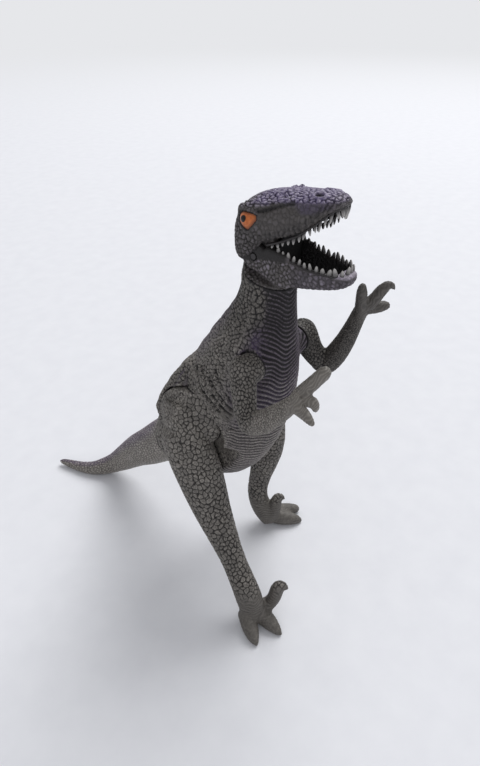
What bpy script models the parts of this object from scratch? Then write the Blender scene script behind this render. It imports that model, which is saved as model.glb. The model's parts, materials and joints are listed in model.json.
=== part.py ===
"""Toy dinosaur figure: an upright raptor in soft vinyl, hollow, with swivel joints and a hinged lower jaw.

Metres, +Z up. The figure faces -Y and its left side is +X. It stands on both feet and the tail,
with the floor at z = 0 and the middle of its footprint at the origin.
"""
import math
from collections import namedtuple

import bmesh
import bpy
from mathutils import Matrix, Vector

# Driving lengths of the sculpt
LEG_LENGTH = 0.100          # hip axis to the ball of the foot
TRUNK_LENGTH = 0.100        # scale of the trunk, from the hips to the neck
HEAD_LENGTH = 0.050         # back of the skull to the front of the lower jaw
TAIL_LENGTH = 0.105         # tail seam to the tip
ARM_LENGTH = 0.040          # scale of an arm, from its shoulder

# Skin and fits
SKIN_WALL = 0.0024          # vinyl wall at the joint seats and along the trunk
LIMB_WALL = 0.0018          # wall between a limb's seat and the flange of its plug
JOINT_GAP = 0.0003          # running gap between two pieces
MERGE_DISTANCE = 0.00001    # closes the ends of a turned solid on its axis
CUT_OVERRUN = 0.012         # how far a cutting tool runs past the surface that it opens

# Swivel seats: the round flat faces that turn on each other
NECK_SEAT_RADIUS = 0.0110
TAIL_SEAT_RADIUS = 0.0130
SHOULDER_SEAT_RADIUS = 0.0063
HIP_SEAT_RADIUS = 0.0190
SHOULDER_SEAT_OFFSET = 0.0145   # seat plane from the middle of the trunk
HIP_SEAT_OFFSET = 0.0136
NECK_LEAN = math.radians(16.4)  # the neck seam tips forward
TAIL_DROP = math.radians(39.0)  # the tail leaves the trunk downward

# Plugs: a stem between two flanges
NECK_STEM_RADIUS = 0.0036
NECK_FLANGE_RADIUS = 0.0054
TAIL_STEM_RADIUS = 0.0055
TAIL_FLANGE_RADIUS = 0.0085
SHOULDER_STEM_RADIUS = 0.0023
SHOULDER_FLANGE_RADIUS = 0.0040
HIP_STEM_RADIUS = 0.0055
HIP_FLANGE_RADIUS = 0.0085
FLANGE_THICKNESS = 0.0015
CHEST_ROOM_DEPTH = 0.0065   # behind a shoulder seat, for the flange of its plug

# Mouth
JAW_PIN_RADIUS = 0.0012
JAW_EAR_SHARES = (0.110, 0.146, 0.186)      # rounded ears about the pin: radius, and from where to where
JAW_EAR_RADIUS, JAW_EAR_INNER, JAW_EAR_OUTER = (share * HEAD_LENGTH for share in JAW_EAR_SHARES)
JAW_WALL = 0.0019
PALATE_SHARE = 0.068        # hollow of the upper jaw above the lip line
LINER_THICKNESS = 0.0008
JAW_EAR_DEGREES = range(-100, 141, 20)      # rounded part of an ear, from its back
EAR_SLOT_SHARE = 0.224      # room in the cheek for an ear as the mouth closes
EAR_SLOT_DEGREES = range(115, 176, 15)
TOOTH_LENGTH = 0.0040       # front teeth
BACK_TOOTH_LENGTH = 0.0012
TOOTH_ROOT = 0.0010         # rail that carries a row of teeth
TOOTH_WIDTH = 0.0011
TOOTH_GUM = 0.0006          # gum line between the teeth, above the rail
TOOTH_POINT = 0.0002        # half width of a tooth at its tip
UPPER_TEETH = 23
LOWER_TEETH = 23
EYE_SHARE = 0.072           # eye radius

# How square the upper and the lower half of a cross-section are: 2 is an ellipse
SKULL_SQUARES = (2.3, 4.0)
JAW_SQUARES = (5.0, 2.8)
CHANNEL_SQUARES = (8.0, 2.6)
LIP_SQUARES = (4.0, 4.0)
LINER_SQUARES = (6.0, 6.0)

# Resolution
SHARP_ANGLE = math.radians(50.0)
BODY_STEPS = 2              # rings between two rows of a table
GUM_STEPS = 4
TRUNK_SIDES = 24
LEG_SIDES = 16
ARM_SIDES = 12
DIGIT_SIDES = 8
TURN_STEPS = 18
PIN_STEPS = 12
BALL_SEGMENTS = 12
EYE_SEGMENTS = 14

# Trunk in shares of its length about the hips: back (forward, up), front (forward, up),
# half width, sideways shift. Forward is negative, as on the figure.
TRUNK_SHARES = (
    (-0.170, 0.720, -0.392, 0.650, 0.112, -0.011),
    (-0.140, 0.640, -0.398, 0.530, 0.128, -0.008),
    (-0.080, 0.550, -0.408, 0.380, 0.160, -0.004),
    (0.010, 0.430, -0.395, 0.210, 0.195, 0.000),
    (0.115, 0.270, -0.355, 0.030, 0.220, 0.000),
    (0.215, 0.110, -0.285, -0.145, 0.225, 0.000),
    (0.300, -0.030, -0.170, -0.300, 0.200, 0.000),
    (0.360, -0.135, 0.030, -0.405, 0.160, -0.005),
)
NECK_SHARES = (-0.012, -0.285, 0.762)       # middle of the neck seat
TAIL_SHARES = (-0.010, 0.310, -0.330)       # middle of the tail seat
SHOULDER_SHARES = (-0.315, 0.420)           # forward and up
SOLE_SHARE = -0.900                         # floor below the hips, in leg lengths

# Tail about its seat: sideways and back in shares of its length, up in shares of the seat's height
# over the floor, and radius in shares of its length
TAIL_LINE_SHARES = (
    (0.000, 0.109, -0.179, 0.114),
    (-0.005, 0.199, -0.326, 0.105),
    (-0.005, 0.308, -0.490, 0.093),
    (-0.011, 0.417, -0.683, 0.078),
    (-0.038, 0.514, -0.844, 0.059),
    (-0.081, 0.570, -0.901, 0.049),
    (-0.116, 0.615, -0.930, 0.041),
    (-0.147, 0.670, -0.943, 0.034),
    (-0.170, 0.738, -0.951, 0.028),
    (-0.195, 0.814, -0.949, 0.019),
    (-0.206, 0.840, -0.949, 0.010),
)

# Legs in shares of the leg about the hips: outward, back, up, half width, half depth
RIGHT_LEG_SHARES = (
    (0.190, 0.060, 0.100, 0.080, 0.110),
    (0.215, 0.040, 0.000, 0.100, 0.125),
    (0.225, -0.005, -0.110, 0.105, 0.130),
    (0.235, -0.078, -0.236, 0.105, 0.122),
    (0.255, -0.170, -0.390, 0.085, 0.098),
    (0.280, -0.295, -0.553, 0.061, 0.066),
    (0.290, -0.356, -0.640, 0.058, 0.062),
    (0.300, -0.415, -0.724, 0.062, 0.065),
    (0.303, -0.450, -0.800, 0.062, 0.062),
    (0.303, -0.472, -0.862, 0.050, 0.048),
)
LEFT_LEG_SHARES = (
    (0.190, 0.050, 0.100, 0.080, 0.110),
    (0.215, 0.015, 0.000, 0.100, 0.125),
    (0.240, -0.035, -0.120, 0.105, 0.125),
    (0.263, -0.080, -0.255, 0.100, 0.110),
    (0.260, -0.095, -0.395, 0.080, 0.086),
    (0.240, -0.070, -0.575, 0.058, 0.061),
    (0.225, -0.064, -0.680, 0.054, 0.057),
    (0.220, -0.087, -0.755, 0.056, 0.057),
    (0.230, -0.120, -0.810, 0.060, 0.056),
    (0.245, -0.145, -0.866, 0.052, 0.046),
)
# Toes in shares of the leg: outward, back, up, radius
RIGHT_TOE_SHARES = (
    ((0.325, -0.430, -0.840, 0.042), (0.360, -0.485, -0.866, 0.042), (0.388, -0.530, -0.876, 0.033),
     (0.402, -0.556, -0.884, 0.021), (0.411, -0.574, -0.892, 0.008)),
    ((0.280, -0.450, -0.840, 0.046), (0.280, -0.510, -0.864, 0.045), (0.286, -0.560, -0.873, 0.038),
     (0.290, -0.600, -0.882, 0.024), (0.292, -0.630, -0.892, 0.008)),
    ((0.258, -0.470, -0.850, 0.040), (0.222, -0.502, -0.826, 0.036), (0.203, -0.516, -0.778, 0.035),
     (0.193, -0.522, -0.732, 0.035), (0.184, -0.536, -0.708, 0.027), (0.173, -0.555, -0.714, 0.017),
     (0.168, -0.565, -0.738, 0.006)),
)
LEFT_TOE_SHARES = (
    ((0.280, -0.115, -0.845, 0.042), (0.330, -0.150, -0.866, 0.042), (0.380, -0.184, -0.874, 0.036),
     (0.410, -0.206, -0.880, 0.027), (0.426, -0.218, -0.888, 0.013)),
    ((0.255, -0.140, -0.845, 0.046), (0.290, -0.190, -0.864, 0.045), (0.325, -0.235, -0.873, 0.038),
     (0.350, -0.265, -0.882, 0.025), (0.365, -0.284, -0.892, 0.008)),
    ((0.236, -0.150, -0.860, 0.038), (0.240, -0.164, -0.815, 0.038), (0.250, -0.172, -0.770, 0.036),
     (0.263, -0.168, -0.728, 0.035), (0.276, -0.175, -0.704, 0.027), (0.291, -0.190, -0.706, 0.017),
     (0.300, -0.202, -0.726, 0.006)),
)
# Haunch: the muscle over the hip seat, in shares of the leg
HAUNCH_CENTRE_SHARES = (0.155, 0.050, 0.050)
HAUNCH_RADII_SHARES = (0.080, 0.200, 0.190)
LEG_SWEEP_SHARE = 0.360         # flank kept clear of the swinging leg, below the hips
LEG_SWEEP_DEGREES = range(-166, -25, 10)
LEG_HOLLOW_SHARES = ((0.215, 0.030, -0.040), (0.060, 0.075, 0.120))

# Arms in shares of the arm about the shoulder seat: outward, back, up, half width, half depth
RIGHT_UPPER_ARM_SHARES = (
    (0.125, 0.015, 0.160, 0.060, 0.075),
    (0.135, 0.012, 0.105, 0.108, 0.128),
    (0.155, 0.005, 0.000, 0.128, 0.150),
    (0.200, -0.047, -0.175, 0.125, 0.136),
    (0.258, -0.113, -0.330, 0.115, 0.124),
    (0.285, -0.160, -0.440, 0.096, 0.108),
    (0.292, -0.175, -0.500, 0.055, 0.065),
)
RIGHT_FOREARM_SHARES = (
    (0.300, -0.105, -0.480, 0.055, 0.065),
    (0.297, -0.150, -0.462, 0.100, 0.112),
    (0.290, -0.220, -0.425, 0.122, 0.130),
    (0.275, -0.350, -0.355, 0.118, 0.125),
    (0.237, -0.463, -0.245, 0.102, 0.107),
    (0.200, -0.562, -0.138, 0.090, 0.090),
    (0.138, -0.625, -0.062, 0.098, 0.080),
    (0.100, -0.662, -0.025, 0.075, 0.062),
)
LEFT_UPPER_ARM_SHARES = (
    (0.125, 0.010, 0.155, 0.060, 0.075),
    (0.135, 0.005, 0.100, 0.108, 0.128),
    (0.155, -0.010, -0.010, 0.130, 0.150),
    (0.212, -0.062, -0.195, 0.125, 0.138),
    (0.290, -0.135, -0.340, 0.120, 0.126),
    (0.330, -0.175, -0.430, 0.105, 0.115),
    (0.345, -0.190, -0.485, 0.055, 0.065),
)
LEFT_FOREARM_SHARES = (
    (0.346, -0.145, -0.475, 0.055, 0.065),
    (0.344, -0.165, -0.440, 0.100, 0.112),
    (0.340, -0.215, -0.370, 0.125, 0.130),
    (0.328, -0.312, -0.225, 0.123, 0.125),
    (0.303, -0.425, 0.000, 0.102, 0.107),
    (0.278, -0.517, 0.238, 0.082, 0.087),
    (0.263, -0.568, 0.375, 0.080, 0.080),
    (0.258, -0.617, 0.490, 0.095, 0.075),
    (0.258, -0.647, 0.545, 0.075, 0.060),
)
# Fingers in shares of the arm: outward, back, up, radius
RIGHT_FINGER_SHARES = (
    ((0.113, -0.600, -0.062, 0.075), (0.050, -0.633, 0.000, 0.077), (-0.013, -0.718, 0.125, 0.072),
     (-0.052, -0.787, 0.225, 0.068), (-0.062, -0.818, 0.265, 0.040)),
    ((0.113, -0.625, -0.070, 0.072), (0.075, -0.695, -0.055, 0.068), (0.045, -0.752, -0.075, 0.058),
     (0.040, -0.775, -0.125, 0.042), (0.048, -0.778, -0.165, 0.018)),
    ((0.175, -0.613, -0.087, 0.072), (0.195, -0.713, -0.092, 0.065), (0.217, -0.797, -0.110, 0.053),
     (0.237, -0.868, -0.135, 0.035), (0.245, -0.897, -0.150, 0.017)),
)
LEFT_FINGER_SHARES = (
    ((0.225, -0.603, 0.475, 0.070), (0.175, -0.622, 0.575, 0.062), (0.142, -0.633, 0.675, 0.057),
     (0.133, -0.637, 0.740, 0.042), (0.133, -0.642, 0.775, 0.022)),
    ((0.272, -0.650, 0.500, 0.072), (0.297, -0.713, 0.600, 0.065), (0.320, -0.762, 0.690, 0.060),
     (0.345, -0.805, 0.735, 0.045), (0.372, -0.835, 0.720, 0.028), (0.384, -0.848, 0.680, 0.012)),
    ((0.297, -0.628, 0.450, 0.072), (0.367, -0.708, 0.460, 0.065), (0.422, -0.758, 0.470, 0.053),
     (0.457, -0.787, 0.465, 0.030)),
)

# Skull in shares of the head about the neck seat: back, top, low edge, half width
SKULL_SHARES = (
    (0.242, 0.406, 0.216, 0.100),
    (0.210, 0.496, 0.144, 0.172),
    (0.150, 0.566, 0.104, 0.216),
    (0.070, 0.612, 0.146, 0.238),
    (-0.014, 0.640, 0.224, 0.240),
    (-0.090, 0.656, 0.296, 0.234),
    (-0.210, 0.682, 0.332, 0.220),
    (-0.350, 0.698, 0.398, 0.198),
    (-0.470, 0.712, 0.474, 0.170),
    (-0.550, 0.708, 0.534, 0.136),
    (-0.602, 0.690, 0.572, 0.098),
    (-0.624, 0.664, 0.594, 0.056),
)
# Collar between the neck seat and the skull, along the neck: height, radius
COLLAR_SHARES = ((0.080, 0.216), (0.180, 0.190), (0.280, 0.150))
# Lower jaw: back, rim, low edge, half width
JAW_SHARES = (
    (-0.206, 0.269, -0.006, 0.192),
    (-0.290, 0.240, -0.002, 0.188),
    (-0.410, 0.212, 0.018, 0.174),
    (-0.530, 0.201, 0.044, 0.152),
    (-0.620, 0.192, 0.066, 0.124),
    (-0.680, 0.187, 0.090, 0.092),
    (-0.712, 0.184, 0.116, 0.056),
)
JAW_CHANNEL_SHARES = (0.060, 0.100)         # its back end ahead of the jaw's, its top above the rim
HINGE_SHARES = (0.020, 0.186)               # jaw pin, back and up
# Side outlines, back and up
CHEEK_OUTLINE_SHARES = ((0.120, 0.100), (-0.090, 0.296), (-0.330, 0.296), (-0.330, -0.026),
                        (-0.170, -0.020), (-0.030, 0.022), (0.090, 0.060))
THROAT_OUTLINE_SHARES = ((-0.166, -0.026), (-0.166, 0.306), (-0.410, 0.306), (-0.410, -0.026))
FLANK_OUTLINE_SHARES = ((-0.096, 0.284), (-0.290, 0.256), (-0.290, 0.010), (-0.178, 0.010))
# Gum lines that the teeth stand on: back, up, half width of the jaw there
LOWER_GUM_SHARES = ((-0.290, 0.240, 0.186), (-0.410, 0.212, 0.172), (-0.530, 0.201, 0.150),
                    (-0.585, 0.195, 0.130), (-0.602, 0.193, 0.100))
UPPER_GUM_SHARES = ((-0.250, 0.370, 0.186), (-0.350, 0.424, 0.169), (-0.470, 0.498, 0.141),
                    (-0.540, 0.544, 0.109), (-0.572, 0.562, 0.070))
# Upper jaw's hollow: back, lip line, half width
PALATE_SHARES = (
    (-0.130, 0.316, 0.196),
    (-0.210, 0.350, 0.192),
    (-0.350, 0.428, 0.170),
    (-0.470, 0.506, 0.142),
    (-0.550, 0.556, 0.108),
    (-0.590, 0.578, 0.072),
)
# Mouth lining, from the throat to the front of the palate: back, up, half width
LINER_SHARES = (
    (-0.180, 0.060, 0.126),
    (-0.180, 0.140, 0.132),
    (-0.180, 0.246, 0.136),
    (-0.198, 0.346, 0.144),
    (-0.250, 0.412, 0.144),
    (-0.350, 0.474, 0.126),
    (-0.470, 0.548, 0.096),
    (-0.542, 0.592, 0.060),
)
EYE_SHARES = (0.168, 0.062, 0.444)          # outward, back, up
SKULL_HOLLOW_SHARES = ((0.000, -0.060, 0.440), (0.090, 0.200, 0.110))

COLOURS = {
    "skin": (0.100, 0.096, 0.085),
    "liner": (0.012, 0.010, 0.010),
    "tooth": (0.560, 0.540, 0.490),
    "eye": (0.800, 0.210, 0.030),
    "plug": (0.030, 0.030, 0.032),
}
ROUGHNESS = {"skin": 0.55, "liner": 0.6, "tooth": 0.4, "eye": 0.15, "plug": 0.45}

Seat = namedtuple("Seat", "name frame seat stem flange limb_wall")

HIP_HEIGHT = -SOLE_SHARE * LEG_LENGTH
HIPS = Vector((0.0, 0.0, HIP_HEIGHT))


def collection(name):
    made = bpy.data.collections.new(name)
    bpy.context.scene.collection.children.link(made)
    return made


def material(name):
    """Principled material of one kind of plastic."""
    if name in bpy.data.materials:
        return bpy.data.materials[name]
    made = bpy.data.materials.new(name)
    made.use_nodes = True
    shader = made.node_tree.nodes["Principled BSDF"]
    shader.inputs["Base Color"].default_value = (*COLOURS[name], 1.0)
    shader.inputs["Roughness"].default_value = ROUGHNESS[name]
    made.diffuse_color = (*COLOURS[name], 1.0)
    return made


def place(name, mesh, kind):
    """Put a mesh in the scene: as a part of the figure, or as a cutting tool when kind is None."""
    thing = bpy.data.objects.new(name, mesh)
    if kind is None:
        CUTTERS.objects.link(thing)
        thing.hide_render = True
        thing.display_type = "WIRE"
    else:
        FIGURE.objects.link(thing)
        mesh.materials.append(material(kind))
    return thing


def smooth(rows, steps):
    """Rows of numbers with `steps` intervals between each pair, on a Catmull-Rom curve."""
    first = [2 * a - b for a, b in zip(rows[0], rows[1])]
    last = [2 * a - b for a, b in zip(rows[-1], rows[-2])]
    padded = [first, *rows, last]
    made = []
    for i in range(1, len(padded) - 2):
        for k in range(steps):
            t = k / steps
            made.append([0.5 * (2 * b + (c - a) * t + (2 * a - 5 * b + 4 * c - d) * t * t
                                + (3 * b - a - 3 * c + d) * t ** 3)
                         for a, b, c, d in zip(*padded[i - 1:i + 3])])
    made.append(list(rows[-1]))
    return made


def bent(value, power):
    return math.copysign(abs(value) ** power, value)


def oval(centre, across, upward, sides, top_square=2.0, low_square=2.0):
    """Ring of points about centre, from two half axes. A higher square gives a boxier half."""
    ring = []
    for k in range(sides):
        angle = 2 * math.pi * k / sides
        square = top_square if math.sin(angle) >= 0 else low_square
        ring.append(centre + across * bent(math.cos(angle), 2 / square)
                    + upward * bent(math.sin(angle), 2 / square))
    return ring


def loft(name, rings, kind=None):
    """Closed skin over a row of rings that have the same number of points."""
    bm = bmesh.new()
    layers = [[bm.verts.new(point) for point in ring] for ring in rings]
    count = len(rings[0])
    for low, high in zip(layers, layers[1:]):
        for k in range(count):
            n = (k + 1) % count
            bm.faces.new((low[k], low[n], high[n], high[k]))
    bm.faces.new(list(reversed(layers[0])))
    bm.faces.new(layers[-1])
    bmesh.ops.recalc_face_normals(bm, faces=bm.faces)
    mesh = bpy.data.meshes.new(name)
    bm.to_mesh(mesh)
    bm.free()
    mesh.shade_smooth()
    mesh.set_sharp_from_angle(angle=SHARP_ANGLE)
    return place(name, mesh, kind)


def limb(name, rows, sides, kind=None, steps=BODY_STEPS, square=2.0):
    """Loft along a curved line. Rows hold a place, a half width and a half depth in metres."""
    rows = smooth(rows, steps)
    places = [Vector(row[:3]) for row in rows]
    rings = []
    for i, row in enumerate(rows):
        along = (places[min(i + 1, len(rows) - 1)] - places[max(i - 1, 0)]).normalized()
        across = (Vector((1.0, 0.0, 0.0)) - along * along.x).normalized()
        rings.append(oval(places[i], across * row[3], along.cross(across) * row[4], sides, square, square))
    return loft(name, rings, kind)


def prism(name, outline, low, high, kind=None):
    """Side outline of (forward, up) points, extruded across the figure from low to high."""
    bm = bmesh.new()
    face = bm.faces.new([bm.verts.new((low, y, z)) for y, z in outline])
    far = bmesh.ops.extrude_face_region(bm, geom=[face])
    moved = [item for item in far["geom"] if isinstance(item, bmesh.types.BMVert)]
    bmesh.ops.translate(bm, verts=moved, vec=(high - low, 0.0, 0.0))
    bmesh.ops.recalc_face_normals(bm, faces=bm.faces)
    mesh = bpy.data.meshes.new(name)
    bm.to_mesh(mesh)
    bm.free()
    return place(name, mesh, kind)


def arc_outline(centre, radius, directions):
    """Points of an arc in side view. Zero degrees points to the back."""
    return [(centre.y + radius * math.cos(math.radians(degrees)),
             centre.z + radius * math.sin(math.radians(degrees))) for degrees in directions]


def ball(name, centre, radii, segments=BALL_SEGMENTS, kind=None):
    """Sphere or ellipsoid."""
    bm = bmesh.new()
    bmesh.ops.create_uvsphere(bm, u_segments=segments, v_segments=segments // 2, radius=1.0,
                              matrix=Matrix.Translation(centre) @ Matrix.Diagonal((*radii, 1.0)))
    mesh = bpy.data.meshes.new(name)
    bm.to_mesh(mesh)
    bm.free()
    mesh.shade_smooth()
    return place(name, mesh, kind)


def turned(name, frame, outline, kind=None, steps=TURN_STEPS):
    """Solid turned about the frame's Z axis. The outline of (radius, height) runs from top to bottom."""
    mesh = bpy.data.meshes.new(name)
    mesh.from_pydata([(radius, 0.0, height) for radius, height in outline],
                     [(i, i + 1) for i in range(len(outline) - 1)], [])
    thing = place(name, mesh, kind)
    thing.matrix_world = frame
    screw = thing.modifiers.new("turn", "SCREW")
    screw.axis = "Z"
    screw.steps = steps
    screw.render_steps = steps
    screw.use_merge_vertices = True
    screw.merge_threshold = MERGE_DISTANCE
    screw.use_smooth_shade = False
    return thing


def rod(name, frame, radius, low, high, kind=None, steps=TURN_STEPS):
    """Plain cylinder along the frame's Z axis."""
    bm = bmesh.new()
    bmesh.ops.create_cone(bm, cap_ends=True, segments=steps, radius1=radius, radius2=radius, depth=high - low,
                          matrix=Matrix.Translation((0.0, 0.0, (low + high) / 2)))
    mesh = bpy.data.meshes.new(name)
    bm.to_mesh(mesh)
    bm.free()
    thing = place(name, mesh, kind)
    thing.matrix_world = frame
    return thing


def change(thing, tools, operation="DIFFERENCE"):
    """Cut a group of tools out of a thing, or join them to it, in one step."""
    group = bpy.data.collections.new(f"{thing.name}_{operation.lower()}")
    CUTTERS.children.link(group)
    for tool in tools:
        CUTTERS.objects.unlink(tool)
        group.objects.link(tool)
    step = thing.modifiers.new(group.name, "BOOLEAN")
    step.operation = operation
    step.solver = "EXACT"
    step.operand_type = "COLLECTION"
    step.collection = group
    thing.modifiers.new(group.name + "_triangles", "TRIANGULATE")
    return thing


def aimed(centre, axis):
    """Frame at a centre with its Z axis along a direction."""
    return Matrix.Translation(centre) @ axis.to_track_quat("Z", "X").to_matrix().to_4x4()


def seat_at(name, centre, axis, radius, stem, flange, limb_wall=LIMB_WALL):
    return Seat(name, aimed(centre, axis), radius, stem, flange, limb_wall)


def seat_point(share_row):
    return HIPS + Vector(share_row) * TRUNK_LENGTH


def shoulder_centre(side):
    back, up = SHOULDER_SHARES
    return Vector((side * SHOULDER_SEAT_OFFSET, back * TRUNK_LENGTH, HIP_HEIGHT + up * TRUNK_LENGTH))


def joint_pivot(seat):
    """Empty on the axis of a joint, for its moving pieces to hang from."""
    pivot = bpy.data.objects.new(seat.name + "_pivot", None)
    pivot.empty_display_size = seat.stem
    pivot.matrix_world = seat.frame
    FIGURE.objects.link(pivot)
    return pivot


def hang(things, pivot):
    for thing in things:
        thing.parent = pivot
        thing.matrix_parent_inverse = pivot.matrix_world.inverted()


def stem_hole(seat, low, high):
    return rod(seat.name + "_hole", seat.frame, seat.stem + JOINT_GAP, low, high)


def flange_room(seat):
    """Room behind the seat of a limb for the outer flange of its plug."""
    high = seat.limb_wall + FLANGE_THICKNESS + 3 * JOINT_GAP
    return rod(seat.name + "_room", seat.frame, seat.flange + 2 * JOINT_GAP, seat.limb_wall + JOINT_GAP, high)


def seat_plug(seat):
    """Swivel plug: a stem with a flange inside the trunk and one inside the limb."""
    top = seat.limb_wall + FLANGE_THICKNESS + 2 * JOINT_GAP
    low = -SKIN_WALL - FLANGE_THICKNESS - JOINT_GAP
    outline = ((0.0, top), (seat.flange, top), (seat.flange, top - FLANGE_THICKNESS),
               (seat.stem, top - FLANGE_THICKNESS), (seat.stem, low + FLANGE_THICKNESS),
               (seat.flange, low + FLANGE_THICKNESS), (seat.flange, low), (0.0, low))
    return turned(seat.name + "_plug", seat.frame, outline, "plug")


def disc_row(seat):
    """The seat's rim as a row of the trunk's loft: middle, half width and half depth."""
    centre = seat.frame.translation
    depth = seat.frame.to_3x3() @ Vector((0.0, 0.0, 1.0))
    depth = depth.cross(Vector((1.0, 0.0, 0.0))) * seat.seat
    return [*centre, seat.seat, depth.y, depth.z]


def trunk_rows(seats):
    rows = [disc_row(seats["neck"])]
    for back, back_up, front, front_up, half, shift in TRUNK_SHARES:
        rows.append([shift * TRUNK_LENGTH, (back + front) / 2 * TRUNK_LENGTH,
                     HIP_HEIGHT + (back_up + front_up) / 2 * TRUNK_LENGTH, half * TRUNK_LENGTH,
                     (back - front) / 2 * TRUNK_LENGTH, (back_up - front_up) / 2 * TRUNK_LENGTH])
    tail = disc_row(seats["tail"])
    tail[4], tail[5] = -tail[4], -tail[5]
    rows.append(tail)
    return rows


def trunk_loft(name, rows, sides, inset=0.0, kind=None):
    rings = []
    for x, y, z, half, depth_y, depth_z in rows:
        depth = Vector((0.0, depth_y, depth_z))
        depth = depth * (1.0 - inset / depth.length)
        rings.append(oval(Vector((x, y, z)), Vector((half - inset, 0.0, 0.0)), depth, sides))
    return loft(name, rings, kind)


def leg_sweep(name, side, offset, reach):
    """Slab beside the trunk that the swinging leg passes through, below the hip seat."""
    outline = [(HIPS.y, HIPS.z), *arc_outline(HIPS, reach, LEG_SWEEP_DEGREES)]
    far = side * (offset + CUT_OVERRUN)
    return prism(name, outline, side * offset, far)


def torso_shell(seats):
    """Hollow trunk with the neck, and a round pocket for each limb."""
    rows = trunk_rows(seats)
    shell = trunk_loft("torso_shell", smooth(rows, BODY_STEPS), TRUNK_SIDES, kind="skin")
    hollow = trunk_loft("torso_hollow", rows, LEG_SIDES, SKIN_WALL)
    bosses = []
    for seat in seats.values():
        bosses.append(rod(seat.name + "_boss", seat.frame, seat.seat + SKIN_WALL + JOINT_GAP,
                          -SKIN_WALL, CUT_OVERRUN))
    sweep = LEG_SWEEP_SHARE * LEG_LENGTH
    for side, name in ((-1, "right"), (1, "left")):
        bosses.append(leg_sweep(name + "_sweep_boss", side, HIP_SEAT_OFFSET - SKIN_WALL, sweep + SKIN_WALL))
    change(hollow, bosses)
    sockets = [rod(name + "_shoulder_socket", seats[name + "_shoulder"].frame, SHOULDER_SEAT_RADIUS,
                   -CHEST_ROOM_DEPTH - SKIN_WALL, 0.0) for name in ("right", "left")]
    change(shell, sockets, "UNION")
    cutters = [hollow]
    for side, name in ((-1, "right"), (1, "left")):
        for joint in ("shoulder", "hip"):
            seat = seats[name + "_" + joint]
            cutters.append(rod(seat.name + "_pocket", seat.frame, seat.seat + JOINT_GAP, 0.0, CUT_OVERRUN))
        cutters.append(rod(name + "_chest_room", seats[name + "_shoulder"].frame,
                           SHOULDER_FLANGE_RADIUS + 2 * JOINT_GAP, -CHEST_ROOM_DEPTH, -SKIN_WALL))
        cutters.append(leg_sweep(name + "_sweep", side, HIP_SEAT_OFFSET + JOINT_GAP, sweep))
    for seat in seats.values():
        cutters.append(stem_hole(seat, -2 * SKIN_WALL, SKIN_WALL))
    return change(shell, cutters)


def floor_cut(name):
    """Everything below the floor, to trim what stands on it flat."""
    return prism(name + "_floor", [(-LEG_LENGTH, 0.0), (2 * LEG_LENGTH, 0.0), (2 * LEG_LENGTH, -CUT_OVERRUN),
                                   (-LEG_LENGTH, -CUT_OVERRUN)], -LEG_LENGTH, LEG_LENGTH)


def tail_shell(seat):
    """Hollow tail, down to the floor and along it."""
    centre = seat.frame.translation
    axis = seat.frame.to_3x3() @ Vector((0.0, 0.0, 1.0))
    rows = [[*(centre - axis * SKIN_WALL), seat.seat, seat.seat]]
    fall = HIP_HEIGHT + TAIL_SHARES[-1] * TRUNK_LENGTH
    for x, y, z, radius in TAIL_LINE_SHARES:
        spot = centre + Vector((x * TAIL_LENGTH, y * TAIL_LENGTH, z * fall))
        rows.append([*spot, radius * TAIL_LENGTH, radius * TAIL_LENGTH])
    shell = limb("tail_shell", rows, LEG_SIDES, "skin")
    room = [[*spot, half - SKIN_WALL, deep - SKIN_WALL] for *spot, half, deep in rows[:5]]
    room[0][:3] = centre + axis * (seat.limb_wall + JOINT_GAP)
    hollow = limb("tail_hollow", room, ARM_SIDES, None, 1)
    face = rod("tail_face", seat.frame, 2 * seat.seat, -CUT_OVERRUN, JOINT_GAP)
    return change(shell, [face, hollow, flange_room(seat), stem_hole(seat, -SKIN_WALL, 2 * SKIN_WALL),
                          floor_cut("tail")])


def scaled_rows(share_rows, length, origin, side):
    """Rows of outward, back, up and sizes, as places and sizes in metres."""
    rows = []
    for out, back, up, *sizes in share_rows:
        spot = origin + Vector((side * out, back, up)) * length
        sizes = [size * length for size in sizes]
        rows.append([*spot, sizes[0], sizes[-1]])
    return rows


def leg(name, side, seat, leg_shares, toe_shares):
    """Thigh, shank and foot in one skin, with a flat inner face that turns on the hip seat."""
    shell = limb(name + "_leg", scaled_rows(leg_shares, LEG_LENGTH, HIPS, side), LEG_SIDES, "skin")
    inner = prism(name + "_thigh_face",
                  [(-LEG_LENGTH, HIP_HEIGHT / 2), (LEG_LENGTH, HIP_HEIGHT / 2), (LEG_LENGTH, 2 * HIP_HEIGHT),
                   (-LEG_LENGTH, 2 * HIP_HEIGHT)],
                  0.0, side * (HIP_SEAT_OFFSET + 2 * JOINT_GAP))
    change(shell, [inner])
    out, back, up = HAUNCH_CENTRE_SHARES
    haunch = ball(name + "_haunch", HIPS + Vector((side * out, back, up)) * LEG_LENGTH,
                  Vector(HAUNCH_RADII_SHARES) * LEG_LENGTH, TURN_STEPS)
    disc = rod(name + "_hip_disc", seat.frame, seat.seat, JOINT_GAP, CUT_OVERRUN)
    change(haunch, [disc], "INTERSECT")
    toes = [limb(f"{name}_toe_{i + 1}", scaled_rows(rows, LEG_LENGTH, HIPS, side), DIGIT_SIDES)
            for i, rows in enumerate(toe_shares)]
    change(shell, [haunch, *toes], "UNION")
    (out, back, up), radii = LEG_HOLLOW_SHARES
    hollow = ball(name + "_leg_hollow", HIPS + Vector((side * out, back, up)) * LEG_LENGTH,
                  Vector(radii) * LEG_LENGTH)
    return change(shell, [floor_cut(name), hollow, flange_room(seat),
                          stem_hole(seat, -SKIN_WALL, 2 * LIMB_WALL)])


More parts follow.
